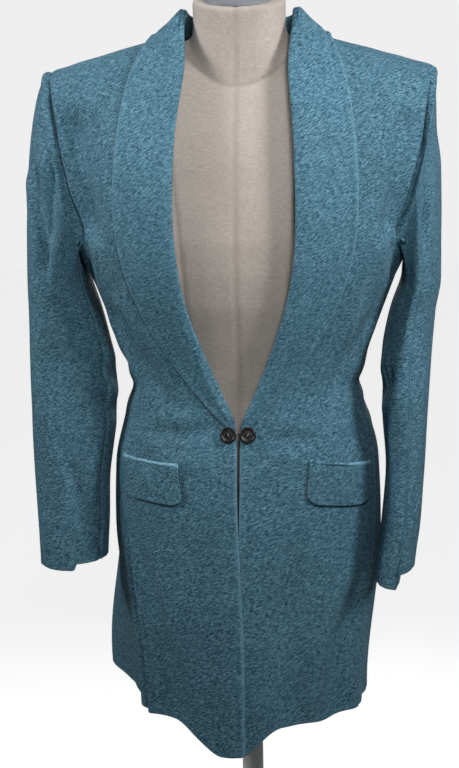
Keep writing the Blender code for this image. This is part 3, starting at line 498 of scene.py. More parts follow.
def soft_wave(a, b, seed):
    """Small uneven swell: three sine waves crossing at odd angles."""
    return (np.sin(31.0 * a + 17.0 * b + seed) + np.sin(-19.0 * a + 41.0 * b + 2.1 * seed)
            + np.sin(53.0 * a - 29.0 * b + 3.7 * seed)) / 3.0


def grid_normals(grid, outward):
    """Directions square to a grid of points, turned to the side that `outward` points to."""
    normals = unit(np.cross(np.gradient(grid, axis=1), np.gradient(grid, axis=0)))
    return normals * np.sign(np.sum(normals * outward))


def arc_lengths(grid, axis):
    """Distance run along an axis of a grid."""
    steps = np.linalg.norm(np.diff(grid, axis=axis), axis=-1)
    start = np.zeros_like(np.take(steps, [0], axis=axis))
    return np.cumsum(np.concatenate([start, steps], axis=axis), axis=axis)


def dense_ends(count, share=0.55):
    """Shares from 0 to 1 that lie closer together near both ends."""
    even = np.linspace(0.0, 1.0, count)
    return (1.0 - share) * even + share * (0.5 - 0.5 * np.cos(np.pi * even))


def add_object(name, data):
    """A new object at the origin, linked to the scene."""
    thing = bpy.data.objects.new(name, data)
    bpy.context.scene.collection.objects.link(thing)
    return thing


def link_object(name, mesh):
    """Link a smooth mesh to the scene and let it move with the object."""
    mesh.polygons.foreach_set("use_smooth", np.ones(len(mesh.polygons), dtype=bool))
    thing = add_object(name, mesh)
    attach(thing, "root")
    return thing


def new_mesh(name, points, faces, uv=None, edge=None):
    """A mesh from arrays of points and faces, with a UV map in metres and an edge mask."""
    mesh = bpy.data.meshes.new(name)
    mesh.from_pydata(points, [], faces)
    if uv is not None:
        corner = np.zeros(len(mesh.loops), dtype=np.int32)
        mesh.loops.foreach_get("vertex_index", corner)
        layer = mesh.uv_layers.new(name="cloth")
        layer.data.foreach_set("uv", uv[corner].astype(np.float32).ravel())
    if edge is not None:
        mask = mesh.attributes.new("edge", "FLOAT", "POINT")
        mask.data.foreach_set("value", edge.astype(np.float32))
    mesh.update()
    return mesh


def cloth_shell(name, outer, outward, uv, edge, thick=CLOTH):
    """Closed cloth shell.

    The inner face lies one thickness inside the outer grid, and the rim between them bulges out by half a
    thickness, so a cut edge looks folded.
    """
    rows, columns = outer.shape[:2]
    count = rows * columns
    normals = grid_normals(outer, outward)
    inner = outer - normals * thick
    at = np.arange(count).reshape(rows, columns)
    quads = np.stack([at[:-1, :-1], at[:-1, 1:], at[1:, 1:], at[1:, :-1]], axis=-1).reshape(-1, 4)
    loop = np.concatenate([at[0], at[1:, -1], at[-1, -2::-1], at[-2:0:-1, 0]])
    away = np.zeros_like(outer)
    away[0] -= unit(outer[1] - outer[0])
    away[-1] += unit(outer[-1] - outer[-2])
    away[:, 0] -= unit(outer[:, 1] - outer[:, 0])
    away[:, -1] += unit(outer[:, -1] - outer[:, -2])
    flat_outer, flat_inner = outer.reshape(-1, 3), inner.reshape(-1, 3)
    middle = 0.5 * (flat_outer + flat_inner)[loop] + unit(away.reshape(-1, 3)[loop]) * thick * 0.5
    after = np.roll(loop, -1)
    rim = np.arange(len(loop)) + 2 * count
    rim_after = np.roll(rim, -1)
    upper = np.stack([after, loop, rim, rim_after], axis=-1)
    lower = np.stack([rim_after, rim, loop + count, after + count], axis=-1)
    faces = np.concatenate([quads, quads[:, ::-1] + count, upper, lower])
    facing = np.cross(outer[1, 1] - outer[0, 0], outer[1, 0] - outer[0, 1]) @ normals[0, 0]
    if facing < 0.0:
        faces = faces[:, ::-1]
    points = np.concatenate([flat_outer, flat_inner, middle])
    flat_uv, flat_edge = uv.reshape(-1, 2), edge.reshape(-1)
    mesh = new_mesh(name, points, faces, np.concatenate([flat_uv, flat_uv, flat_uv[loop]]),
                    np.concatenate([flat_edge, flat_edge, flat_edge[loop]]))
    return link_object(name, mesh)


def cloth_piece(kind, side, grid, uv, edge, skin, thick=CLOTH):
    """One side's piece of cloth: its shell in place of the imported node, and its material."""
    node = kind + "_" + word(side)
    thing = cloth_shell(node + "_cloth", *grid, uv, edge, thick)
    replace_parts(thing, node)
    thing.data.materials.append(skin)


# Body panels


def side_seam(level, side):
    """Turn of the seam between front and side; on the wearer's right it runs forward below the hip."""
    seam = column(COAT, "front_seam", level)
    return seam - SEAM_FORWARD * ease((SEAM_TURNS - level) / 0.08) if side < 0.0 else seam


def hem_wave(turn):
    """The hem line's small unevenness."""
    return 0.0011 * np.sin(np.radians(turn * 7.0) + 0.6) + 0.0008 * np.sin(np.radians(turn * 17.0))


def body_surface(turn, level):
    """Body surface with its creases pushed in along its outward direction."""
    level = level + hem_wave(turn) * ease((0.66 - level) / 0.06)
    points = coat(turn, level)
    out = coat_normal(turn, level)
    middle = np.array([0.0, 0.0, 1.1])
    out = out * np.sign(np.sum(out * (points - middle) * np.array([1.0, 1.0, 0.2]), axis=-1, keepdims=True))
    push = crease_push(turn, level, BODY_CREASES, BODY_DEGREE)
    push = push + SWELL * soft_wave(turn * 0.010, level * 0.9, 0.4)
    return points + out * push[..., None], out


def seam_dip(points, first, last):
    """Cloth drawn in along the seams at the first and last columns: a narrow bell of the distance."""
    run = arc_lengths(points, 1)
    back = run[:, -1:] - run
    dip = first * bell(run, SEAM_WIDTH) + last * bell(back, SEAM_WIDTH)
    return dip, run, back


def armhole_dip(level):
    """How far the body's edge sinks along the armhole, less at the underarm and the shoulder's end."""
    return ARMHOLE_DIP * ease((level - ARM_LEVEL) / 0.012) * ease((ARMHOLE_FADE - level) / 0.03)


def body_levels(top):
    """Rows from the hem up; above the armholes they crowd towards the shoulder."""
    low = np.linspace(HEM_LEVEL, ARM_LEVEL, BODY_ROWS)
    if not top:
        return low
    share = np.linspace(0.0, 1.0, YOKE_ROWS + 1)[1:]
    return np.concatenate([low, ARM_LEVEL + (1.0 - (1.0 - share) ** 1.8) * (TOP_LEVEL - ARM_LEVEL)])


def panel_grid(levels, columns):
    """Levels of a panel's grid, and the shares across it."""
    return np.repeat(levels[:, None], columns, axis=1), dense_ends(columns)[None, :]


def make_front(side, skin):
    """Front panel: turns run from the front edge to the side seam, levels from hem to shoulder.

    On the wearer's right the lower edge laps over the other front, and its side edge turns in behind.
    """
    level, share = panel_grid(body_levels(True), FRONT_COLUMNS)
    edge_x = front_edge_x(level)
    if side < 0.0:
        edge_x = edge_x - LAP * ease((LAP_LEVEL - level) / 0.16)
    off_centre = 1e-5
    start = turn_at(np.where(np.abs(edge_x) < off_centre, off_centre, edge_x), level)
    turn = side * (start * (1.0 - share) + side_seam(level, side) * share)
    points, out = body_surface(turn, level)
    dip, run, back = seam_dip(points, 0.0, -SEAM_SINK - armhole_dip(level))
    if side < 0.0:
        low = ease((SKIRT_LEVEL - level) / 0.12)
        dip = dip - 0.0085 * low * np.clip(1.0 - back / 0.0050, 0.0, 1.0) ** 1.6
        dip = dip + low * (0.0022 * bell(run, 0.012) + 0.0030 * bell(back, 0.016))
    below_button = ease((0.925 - level) / 0.02)
    dip = dip + 0.0008 * below_button * bell(run - 0.0035, 0.0022)
    dip = dip - 0.0012 * (1.0 - below_button) * bell(run, 0.03)
    points = points + out * dip[..., None]
    rise = arc_lengths(points, 0)
    uv = np.stack([side * (run + edge_x + WEAVE_START["front"]), rise + points[:1, :, 2]], axis=-1)
    # The edge mask makes the cloth paler along the front edge below the button and along the hem.
    edge = np.maximum(bell(run, EDGE_PALE_BAND) * below_button, bell(rise, HEM_PALE_BAND))
    # Painted highlight: the edge mask is raised along the darts, so the cloth is lighter on their ridges.
    edge = np.maximum(edge, DART_PAINTED_HIGHLIGHT * crease_push(turn, level, DART_HIGHLIGHT_LINES, BODY_DEGREE))
    cloth_piece("front", side, (points, out), uv, edge, skin)


def make_side(side, skin):
    """Side panel between the front and back seams, its top dipping under the arm."""
    level, share = panel_grid(body_levels(False), SIDE_COLUMNS)
    lift = (level - HEM_LEVEL) / (ARM_LEVEL - HEM_LEVEL)
    level = level - ease((lift - 0.75) / 0.25) * UNDERARM_DIP * np.sin(np.pi * share)
    turn = side * (side_seam(level, side) * (1.0 - share) + column(COAT, "back_seam", level) * share)
    points, out = body_surface(turn, level)
    dip, run, _ = seam_dip(points, -SEAM_SINK, -SEAM_SINK)
    if side < 0.0:
        dip = dip - 0.0110 * ease((SKIRT_LEVEL - level) / 0.12) * bell(run, 0.013)
    points = points + out * dip[..., None]
    rise = arc_lengths(points, 0)
    uv = np.stack([side * (run + WEAVE_START["side"]), rise], axis=-1)
    cloth_piece("side", side, (points, out), uv, bell(rise, HEM_PALE_BAND), skin)


def neck_level(turn):
    """Top level of the back: the shoulder seam, dropping at the neck along a quarter of an ellipse."""
    spread = np.clip(np.abs(turn), 0.0, 180.0)
    x = section_surface(spread, TOP_LEVEL)[..., 0]
    inside = np.clip(1.0 - (x / NECK_X) ** 2, 0.0, 1.0) ** 0.5
    return TOP_LEVEL - NECK_BACK_DROP * inside


def make_back(side, skin):
    """Back panel from the side seam to the centre back seam, its top following shoulder and neck."""
    level, share = panel_grid(body_levels(True), FRONT_COLUMNS)
    turn = column(COAT, "back_seam", level) * (1.0 - share) + 180.0 * share
    top = neck_level(turn[-1])
    yoke = np.clip((level - ARM_LEVEL) / (TOP_LEVEL - ARM_LEVEL), 0.0, 1.0)
    level = np.where(level > ARM_LEVEL, ARM_LEVEL + yoke * (top[None, :] - ARM_LEVEL), level)
    points, out = body_surface(side * turn, level)
    dip, _, back = seam_dip(points, -SEAM_SINK - armhole_dip(level), -SEAM_SINK)
    points = points + out * dip[..., None]
    rise = arc_lengths(points, 0)
    uv = np.stack([side * (WEAVE_START["back"] - back), rise], axis=-1)
    cloth_piece("back", side, (points, out), uv, bell(rise, HEM_PALE_BAND), skin)


# Shawl collar


def shawl_stations():
    """Rows along the shawl: base and outer edge as (x, level), stand, and side of the body."""
    heights = np.array([row.base_height for row in LAPEL])
    base_x = np.interp(heights, [edge.height for edge in FRONT_EDGE], [edge.x for edge in FRONT_EDGE])
    edge_x = np.array([row.edge_x for row in LAPEL])
    edge_heights = np.array([row.edge_height for row in LAPEL])
    stand = np.array([row.stand for row in LAPEL])
    columns = [base_x, level_at(base_x, heights), edge_x, level_at(edge_x, edge_heights), stand]
    place = np.arange(len(LAPEL), dtype=float)
    fine = place[-1] * (1.0 - (1.0 - np.linspace(0.0, 1.0, SHAWL_FRONT_ROWS)) ** 1.3)
    reach = 0.6 * np.minimum(1.0, place[-1] - fine)
    front = [soft_read(fine, place, values, reach, WIDE_STEPS) for values in columns]
    angle = np.radians(90.0 * np.linspace(0.0, 1.0, SHAWL_BACK_ROWS + 1)[1:] ** 1.7)
    back = [
        NECK_X * np.cos(angle),
        TOP_LEVEL - NECK_BACK_DROP * np.sin(angle),
        COLLAR_EDGE_X * np.cos(angle),
        TOP_LEVEL - COLLAR_BACK_DROP * np.sin(angle),
        COLLAR_STAND_SIDE + (COLLAR_STAND_BACK - COLLAR_STAND_SIDE) * np.sin(angle),
    ]
    return front, back


def shawl_rows(values, back):
    """Middle face of the shawl for a run of stations, on the wearer's left.

    Each row leaves the seam, rises by its stand, turns over on a half circle and lies back on the coat,
    a little clear of it.
    """
    base_x, base_level, edge_x, edge_level, stand = values
    across = np.linspace(0.0, 1.0, 34) ** 1.1
    x = base_x[:, None] * (1.0 - across) + edge_x[:, None] * across
    level = base_level[:, None] * (1.0 - across) + edge_level[:, None] * across
    turn = turn_at(np.maximum(x, 1e-6), level, back=back)
    lying = coat(turn, level)
    normal = coat_normal(turn, level)
    outward = lying * ON_PLAN + 0.02 * UPRIGHT
    normal = normal * np.sign(np.sum(normal * outward, axis=-1, keepdims=True))
    base = lying[:, 0]
    along = unit(lying[:, 1] - lying[:, 0])
    share = ease((stand - LAPEL_SEAT) / (COLLAR_STAND_SIDE - LAPEL_SEAT))[:, None]
    neck_out = unit(base * ON_PLAN)
    upright = unit(UPRIGHT - STAND_LEAN * neck_out)
    rise = unit(-along * (1.0 - share) + upright * share)
    facing = unit(normal[:, 0] * (1.0 - share) + neck_out * share)
    facing = unit(facing - rise * np.sum(facing * rise, axis=-1, keepdims=True))
    seat = base - normal[:, 0] * CLOTH / 2.0 - along * (0.0009 + share * (CLOTH / 2.0 + 0.0010))
    seat = seat + upright * share * 0.0006
    height = stand[:, None]
    grown = ease((base_level - LAPEL[0].base_height) / LAPEL_POINT_RUN)[:, None]
    grown = LAPEL_POINT_ROLL + (1.0 - LAPEL_POINT_ROLL) * grown
    roll = ROLL_RADIUS * grown
    points = [seat]
    centre = seat + rise * height + facing * roll
    for angle in np.radians(np.linspace(0.0, 180.0, 9)):
        points.append(centre + roll * (rise * np.sin(angle) - facing * np.cos(angle)))
    for col in range(1, across.size):
        part = across[col]
        lift = LAPEL_LIFT * grown * (1.0 - 0.45 * ease((part - 0.5) / 0.5))
        puff = (2.0 * roll + 0.0022 * grown * (1.0 - share) - CLOTH / 2.0 - lift) * (1.0 - ease(part / 0.5))
        raised = lying[:, col] + normal[:, col] * (lift + puff + 0.0016 * share)
        points.append(raised + upright * height * share * (1.0 - part) ** 1.5)
    return np.stack(points, axis=1)


def make_shawl(side, skin):
    """Half of the shawl, from its lower point up round the neck to the centre back seam."""
    front, back = shawl_stations()
    rows = np.concatenate([shawl_rows(front, False), shawl_rows(back, True)])
    rows[-1, :, 0] = 0.0001
    normals = unit(np.cross(np.gradient(rows, axis=1), np.gradient(rows, axis=0)))
    flip = np.sign(np.sum(normals[60, -8] * np.array([0.3, -1.0, 0.0])))
    run = arc_lengths(rows, 1)
    to_edge = run[:, -1:] - run
    rise = arc_lengths(rows, 0)
    swell = 0.0008 * soft_wave(run * 3.0, rise * 0.8, 1.3 + side) * ease(to_edge / 0.012)
    roll = 0.0011 * bell(to_edge - 0.0030, 0.0026) - 0.0007 * bell(to_edge - 0.0085, 0.0030)
    rows = rows + normals * flip * (swell + roll)[..., None]
    rows = rows + normals * flip * CLOTH / 2.0
    turned = np.array([side, 1.0, 1.0])
    last = SHAWL_FRONT_ROWS - 1
    around = np.arange(len(rows)) > last
    climb = np.where(around, rows[last, 0, 2] + rise[:, 0] - rise[last, 0], rows[:, 0, 2])[:, None]
    hanging = ease((200.0 - np.arange(len(rows))) / 90.0)[:, None]
    across = run + np.where(around, rows[last, 0, 0], rows[:, 0, 0])[:, None]
    upward = climb + hanging * (rows[..., 2] - rows[:, :1, 2])
    uv = np.stack([side * (across + WEAVE_START["shawl"]), upward], axis=-1)
    grid = (rows * turned, normals * flip * turned)
    # The edge mask makes the shawl paler along its outer edge.
    cloth_piece("shawl", side, grid, uv, bell(to_edge, 0.0020), skin)


# Sleeves


def armhole(side):
    """Turns and levels round the armhole.

    It runs from the shoulder forward, under the arm and up the back, evenly spaced in each run.
    """
    yoke_rows, under_rows = 160, 60
    yoke = TOP_LEVEL - (TOP_LEVEL - ARM_LEVEL) * np.linspace(0.0, 1.0, yoke_rows) ** 1.5
    under = np.linspace(0.0, 1.0, under_rows)
    seam_front = column(COAT, "front_seam", ARM_LEVEL)
    seam_back = column(COAT, "back_seam", ARM_LEVEL)
    turn = np.concatenate([
        column(COAT, "front_seam", yoke),
        seam_front + (seam_back - seam_front) * under[1:-1],
        column(COAT, "back_seam", yoke[::-1]),
    ])
    level = np.concatenate([yoke, ARM_LEVEL - UNDERARM_DIP * np.sin(np.pi * under[1:-1]), yoke[::-1]])
    points = coat(side * turn, level)
    run = np.concatenate([[0.0], np.cumsum(np.linalg.norm(np.diff(points, axis=0), axis=1))])
    corners = (run[0], run[yoke_rows - 1], run[yoke_rows + under_rows - 2], run[-1])
    last = SLEEVE_COLUMNS - UNDERARM_START - UNDERARM_COLUMNS
    wanted = np.concatenate([
        np.linspace(corners[0], corners[1], UNDERARM_START + 1)[:-1],
        np.linspace(corners[1], corners[2], UNDERARM_COLUMNS + 1)[:-1],
        np.linspace(corners[2], corners[3], last + 1)[:-1],
    ])
    return np.interp(wanted, run, turn), np.interp(wanted, run, level)


def cuff_drop(turn, side):
    """How far the cuff's edge lies below its level: the vent's front layer is the longer one."""
    if side > 0.0:
        longer = ease((turn - 80.0) / 5.0) * ease((236.0 - turn) / 40.0)
        return 0.0035 * longer - 0.0125 * (1.0 - longer)
    shorter = ease((turn - 100.0) / 5.0) * ease((250.0 - turn) / 60.0)
    return -0.0035 - 0.0075 * shorter


def sleeve_surface(table, side):
    """Outer face of a whole sleeve.

    Its first row is tucked in under the body's edge.  From the armhole each line leaves on a quadratic curve
    that bends down to the ring at the upper arm; below it the rings are ellipses read from the table.
    Creases, the seam's dip and the roll of the sleeve head are pushed in or out at the end.
    """
    turn_body, level_body = armhole(side)
    start, body_out = body_surface(side * turn_body, level_body)
    inward = unit(np.cross(np.roll(start, -1, axis=0) - np.roll(start, 1, axis=0), body_out))
    inward = inward * np.sign(-side * inward[16, 0])
    tucked = start + SEAM_TUCK * inward - TUCK_DEPTH * body_out
    turn = np.arange(SLEEVE_COLUMNS) * 360.0 / SLEEVE_COLUMNS
    top = 0.5 + 0.5 * np.cos(np.radians(turn))

    def ring(height):
        height = np.asarray(height, float)[:, None]
        centre_x, centre_y = column(table, "centre_x", height), column(table, "centre_y", height)
        half_width, half_depth = column(table, "half_width", height), column(table, "half_depth", height)
        angle = np.radians(turn)[None, :]
        x = centre_x + half_width * np.cos(angle)
        y = centre_y - half_depth * np.sin(angle)
        return np.stack([side * x, y, height + 0.0 * angle], axis=-1)

    first = table[0].level
    bicep = ring([first])[0]
    control = start.copy()
    control[:, 0] += BEND_OUT * (bicep[:, 0] - start[:, 0])
    control[:, 1] += BEND_AHEAD * (bicep[:, 1] - start[:, 1])
    control[:, 2] += (bicep[:, 2] - start[:, 2]) * (0.03 + 0.35 * (1.0 - top))
    share = (np.linspace(0.0, 1.0, BICEP_ROWS) ** 1.25)[:, None, None]
    upper = start * (1.0 - share) ** 2 + control * 2.0 * share * (1.0 - share) + bicep * share ** 2
    lower = ring(np.linspace(first, CUFF_LEVEL, SLEEVE_ROWS + 1)[1:])
    points = np.concatenate([upper, lower])
    smooth = points.copy()
    for _ in range(SMOOTHING_ROUNDS):
        smooth[1:-1] = 0.25 * smooth[:-2] + 0.5 * smooth[1:-1] + 0.25 * smooth[2:]
    points = np.concatenate([tucked[None], smooth])
    height = points[..., 2]
    points[..., 2] = height - cuff_drop(turn, side)[None, :] * ease((0.835 - height) / 0.075)
    wide = np.concatenate([points[:, -2:], points, points[:, :2]], axis=1)
    normals = unit(np.cross(np.gradient(wide, axis=1), np.gradient(wide, axis=0)))[:, 2:-2]
    middle = points.mean(axis=1, keepdims=True)
    normals = normals * np.sign(np.sum(normals[60] * (points[60] - middle[60])))
    creases = SLEEVE_CREASES_LEFT if side > 0.0 else SLEEVE_CREASES_RIGHT
    push = crease_push(turn[None, :], height, creases, SLEEVE_DEGREE, round_the_back=True)
    run = arc_lengths(points, 0)
    run = run - run[1:2]
    push = push * ease((run - 0.002) / 0.014)
    push = push - 0.0042 * bell(np.maximum(run, 0.0), 0.0030)
    rope = ROPE_HEIGHT * bell(run - 0.0085, 0.0060) * top[None, :] ** 0.5
    push = push + rope + SWELL * soft_wave(turn[None, :] * 0.008, height * 1.1, 2.0 + side)
    return points + normals * push[..., None], normals, run


def make_sleeve(side, skin):
    """A two-piece sleeve: the top sleeve outside and the under sleeve inside, seamed front and back."""
    table = SLEEVE_LEFT if side > 0.0 else SLEEVE_RIGHT
    grid, normals, run = sleeve_surface(table, side)
    order = np.arange(SLEEVE_COLUMNS)
    under = order[FRONT_SLEEVE_SEAM:BACK_SLEEVE_SEAM + 1]
    top = np.concatenate([order[BACK_SLEEVE_SEAM:], order[:FRONT_SLEEVE_SEAM + 1]])
    for kind, picked, upright in (("sleeve_top", top, 44), ("sleeve_under", under, 14)):
        points, out = grid[:, picked], normals[:, picked]
        dip, across, _ = seam_dip(points, -0.0012, -0.0012)
        points = points + out * dip[..., None]
        fall = run[:, picked]
        across = across - across[:, upright:upright + 1]
        to_cuff = fall[-1:] - fall
        uv = np.stack([-side * (across + WEAVE_START["sleeve"]), to_cuff], axis=-1)
        edge = bell(to_cuff, HEM_PALE_BAND)
        cloth_piece(kind, side, (points, out), uv, edge, skin)


# Pockets and buttons


def laid_strip(kind, pocket, above, share_deep, corner, side, lift, skin):
    """A flap or welt laid on the front: its grid follows the body's surface, raised clear of it.

    The grid fills the four-sided pocket shape; its lower corners are quarter rounds, its inner edge leans to
    the centre, and the cloth swells slightly in the middle.
    """
    share = dense_ends(72, 0.8)
    down = dense_ends(30 if corner > 0.0 else 9)[:, None]
    width = pocket.outer_x - pocket.inner_x
    depth = (pocket.inner_depth * (1.0 - share) + pocket.outer_depth * share) * share_deep
    top = pocket.inner_top * (1.0 - share) + pocket.outer_top * share + above
    low = np.zeros_like(share)
    if corner > 0.0:
        into = np.clip(1.0 - np.minimum(share, 1.0 - share) * width / corner, 0.0, 1.0)
        low = corner * (1.0 - np.sqrt(1.0 - into ** 2))
    height = top[None, :] * (1.0 - down) + (top - depth + low)[None, :] * down
    lean = FLAP_LEAN * np.clip((top[None, :] - height) / pocket.inner_depth, 0.0, 1.0)
    lean = lean * (1.0 - share[None, :])
    across = pocket.inner_x + width * share[None, :] - lean
    turn = side * turn_at(across, height)
    lying = coat(turn, height)
    normal = coat_normal(turn, height)
    normal = normal * np.sign(-normal[..., 1:2])
    crease = crease_push(turn, height, BODY_CREASES, BODY_DEGREE)
    swell = 0.0012 * np.sin(np.pi * share)[None, :] * np.sin(np.pi * down)
    points = lying + normal * (crease + lift + CLOTH + swell)[..., None]
    run, fall_run = arc_lengths(points, 1), arc_lengths(points, 0)
    near = np.minimum(np.minimum(run, run[:, -1:] - run), fall_run[-1:] - fall_run)
    roll = 0.0005 * bell(near - 0.002, 0.0015)
    points = points + normal * roll[..., None]
    uv = np.stack([side * run + WEAVE_START["laid"], -fall_run], axis=-1)
    # The edge mask makes the flap paler along its edges; on a welt it paints a highlight along the strip, on
    # the wearer's left only over its outer part.
    edge = 0.6 * bell(near, 0.0013)
    if kind == "welt":
        lit_from = 0.55 if side > 0.0 else -1.0
        edge = ease((share[None, :] - lit_from) / 0.15) + 0.0 * near
    cloth_piece(kind, side, (points, normal), uv, edge, skin, LAID_CLOTH)


def make_pocket(side, flap_skin, welt_highlight_skin):
    """Hip pocket: a narrow welt above a flap with rounded lower corners."""
    pocket = POCKET_LEFT if side > 0.0 else POCKET_RIGHT
    laid_strip("flap", pocket, 0.0, 1.0, FLAP_CORNER, side, FLAP_LIFT, flap_skin)
    share_deep = WELT_DEPTH / pocket.outer_depth
    laid_strip("welt", pocket, WELT_DEPTH + WELT_GAP, share_deep, 0.0, side, WELT_LIFT, welt_highlight_skin)


def ringed_mesh(name, rings, poles, outward):
    """A closed mesh of rings of points, one after the other, with a pole at each end.

    Its faces are wound one way or the other, whichever turns them outward.
    """
    steps = rings.shape[1]
    count = rings.shape[0] * steps
    at = np.arange(count).reshape(-1, steps)
    after = np.roll(at, -1, axis=1)
    sides = np.stack([at[:-1], at[1:], after[1:], after[:-1]], axis=-1).reshape(-1, 4)
    first = np.stack([np.full(steps, count), at[0], after[0]], axis=-1)
    last = np.stack([np.full(steps, count + 1), after[-1], at[-1]], axis=-1)
    faces = [tuple(face)[::outward] for part in (sides, first, last) for face in part.tolist()]
    return new_mesh(name, np.concatenate([rings.reshape(-1, 3), poles]), faces)


def turned_mesh(name, profile, steps):
    """A solid turned round Z: the profile's (radius, height) pairs carried round a circle."""
    profile = np.array(profile, dtype=float)
    ring = profile[1:-1]
    angle = np.arange(steps) * 2.0 * np.pi / steps
    x, y = ring[:, :1] * np.cos(angle), ring[:, :1] * np.sin(angle)
    rings = np.stack([x, y, ring[:, 1:] + 0.0 * angle], axis=-1)
    poles = np.array([[0.0, 0.0, profile[0, 1]], [0.0, 0.0, profile[-1, 1]]])
    return ringed_mesh(name, rings, poles, 1)


def button_seat(side):
    """Middle and facing of a button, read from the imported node's box."""
    low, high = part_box("button_" + word(side))
    point = (low + high) / 2.0
    turn = float(turn_at(BUTTON_X, BUTTON_LEVEL))
    normal = coat_normal(side * turn, BUTTON_LEVEL)
    normal = normal * np.sign(-normal[1])
    return point, Vector(normal)


def make_button(side, skin):
    """Flat horn button with a raised rim, a dished face and a rounded back edge."""
    bend = np.linspace(0.0, np.pi, 9)[1:-1]
    face = [(0.0, 0.0009), (0.0020, 0.0009), (0.0046, 0.0006), (0.0060, 0.0006), (0.0068, 0.0012)]
    round_edge = 0.0013
    middle = BUTTON_RADIUS - round_edge
    rim = [(middle + round_edge * np.sin(part), BUTTON_HALF * 0.9 * np.cos(part)) for part in bend]
    profile = face + [(0.0076, 0.0017)] + rim + [(0.0070, -BUTTON_HALF), (0.0, -BUTTON_HALF)]
    name = "button_" + word(side)
    mesh = turned_mesh(name + "_horn", profile, 56)
    point, normal = button_seat(side)
    place = normal.to_track_quat("Z", "Y").to_matrix().to_4x4()
    place.translation = point
    mesh.transform(place)
    mesh.materials.append(skin)
    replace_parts(link_object(name + "_horn", mesh), name)


def tube_mesh(name, path, radius, steps=10):
    """A round thread: a circle carried along a path of points, narrowing to closed ends."""
    path = np.array(path, dtype=float)
    direction = unit(np.gradient(path, axis=0))
    aside = unit(np.cross(direction, np.array([0.13, 0.2, 1.0])))
    other = np.cross(direction, aside)
    angle = (np.arange(steps) * 2.0 * np.pi / steps)[None, :, None]
    thin = np.full((len(path), 1, 1), radius)
    thin[[0, -1]] = radius * 0.35
    rings = path[:, None] + thin * (aside[:, None] * np.cos(angle) + other[:, None] * np.sin(angle))
    return ringed_mesh(name, rings, path[[0, -1]], -1)


def arched(start, end, lift, normal, count=24):
    """Points from start to end that arch out along a direction by a half sine."""
    share = np.linspace(0.0, 1.0, count)[:, None]
    start, end = np.array(start), np.array(end)
    return start * (1.0 - share) + end * share + np.array(normal) * lift * np.sin(np.pi * share)


def make_threads(pale_skin, dark_skin):
    """A short stitch on each button's face, and the wrapped link between the two buttons."""
    seats = []
    for side in SIDES:
        point, normal = button_seat(side)
        tilt = Vector((side * 0.5, 0.0, 1.0)).normalized() * 0.0017
        middle = point + normal * 0.0010
        name = "button_stitch_" + word(side)
        mesh = tube_mesh(name, arched(middle - tilt, middle + tilt, 0.0005, normal), THREAD)
        mesh.materials.append(pale_skin)
        link_object(name, mesh)
        seats.append(point)
    left, right = seats
    behind = button_seat(SIDES[0])[1] * 0.0006
    start, end = np.array(right - behind), np.array(left - behind)
    share = np.linspace(0.0, 1.0, 160)[:, None]
    wind = share * 2.0 * np.pi * LINK_TURNS
    turns = np.concatenate([0.0 * wind, np.cos(wind), np.sin(wind)], axis=1)
    path = start * (1.0 - share) + end * share + LINK_WIND * turns
    mesh = tube_mesh("button_link_thread", path[10:-10], THREAD)
    mesh.materials.append(dark_skin)
    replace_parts(link_object("button_link_thread", mesh), "button_link")


# Dress form

FORM_SEAM = 0.0022
FORM_VOXEL = 0.0032
FORM_SMOOTHING = 14
# The cover is pressed in under the arms, clear of the hollows in the coat's chest.
UNDER_ARM_PRESS = 0.0125


def make_form_cover(skin, seam_depth):
    """Linen cover of the form.

    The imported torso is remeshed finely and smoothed, then its seams are pressed in: centre front and back,
    two curved panel seams each side, and one round the base of the neck.
    """
    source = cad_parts["form_torso"]
    mesh = source.data.copy()
    mesh.materials.clear()
    thing = add_object("form_cover", mesh)
    weld = thing.modifiers.new("weld", "WELD")
    weld.merge_threshold = 0.00005
    voxels = thing.modifiers.new("voxels", "REMESH")
    voxels.mode = "VOXEL"
    voxels.voxel_size = FORM_VOXEL
    voxels.use_smooth_shade = True
    soften = thing.modifiers.new("soften", "SMOOTH")
    soften.factor = 0.5
    soften.iterations = FORM_SMOOTHING
    evaluated = thing.evaluated_get(bpy.context.evaluated_depsgraph_get())
    smooth = bpy.data.meshes.new_from_object(evaluated)
    bpy.data.objects.remove(thing)
    smooth.name = "form_cover"
    points = np.zeros(len(smooth.vertices) * 3)
    normals = np.zeros(len(smooth.vertices) * 3)
    smooth.vertices.foreach_get("co", points)
    smooth.vertex_normals.foreach_get("vector", normals)
    points, normals = points.reshape(-1, 3), normals.reshape(-1, 3)
    x, y, z = points.T
    waist = np.clip((z - 0.95) / 0.30, -1.0, 1.0)
    panel = 0.052 + 0.026 * waist ** 2
    below_neck = ease((1.285 - z) / 0.02)
    neck_line = 1.292 + 0.030 * (x / 0.055) ** 2 + 0.02 * ease((y + 0.01) / 0.03)
    on_neck = ease((0.070 - np.hypot(x, y + 0.010)) / 0.004)
    seams = np.max([
        bell(x, FORM_SEAM),
        below_neck * bell(np.abs(x) - panel, FORM_SEAM),
        below_neck * bell(y, FORM_SEAM) * ease((np.abs(x) - 0.08) / 0.02),
        on_neck * bell(z - neck_line, FORM_SEAM),
    ], axis=0)
    under_arms = UNDER_ARM_PRESS * ease((np.abs(x) - 0.115) / 0.030) * ease((z - 1.04) / 0.05)
    points = points - normals * (seam_depth * seams + under_arms)[:, None]
    smooth.vertices.foreach_set("co", points.ravel())
    mask = smooth.attributes.new("edge", "FLOAT", "POINT")
    mask.data.foreach_set("value", seams.astype(np.float32))
    smooth.materials.append(skin)
    smooth.update()
    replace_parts(link_object("form_cover", smooth), "form_torso")


# Materials


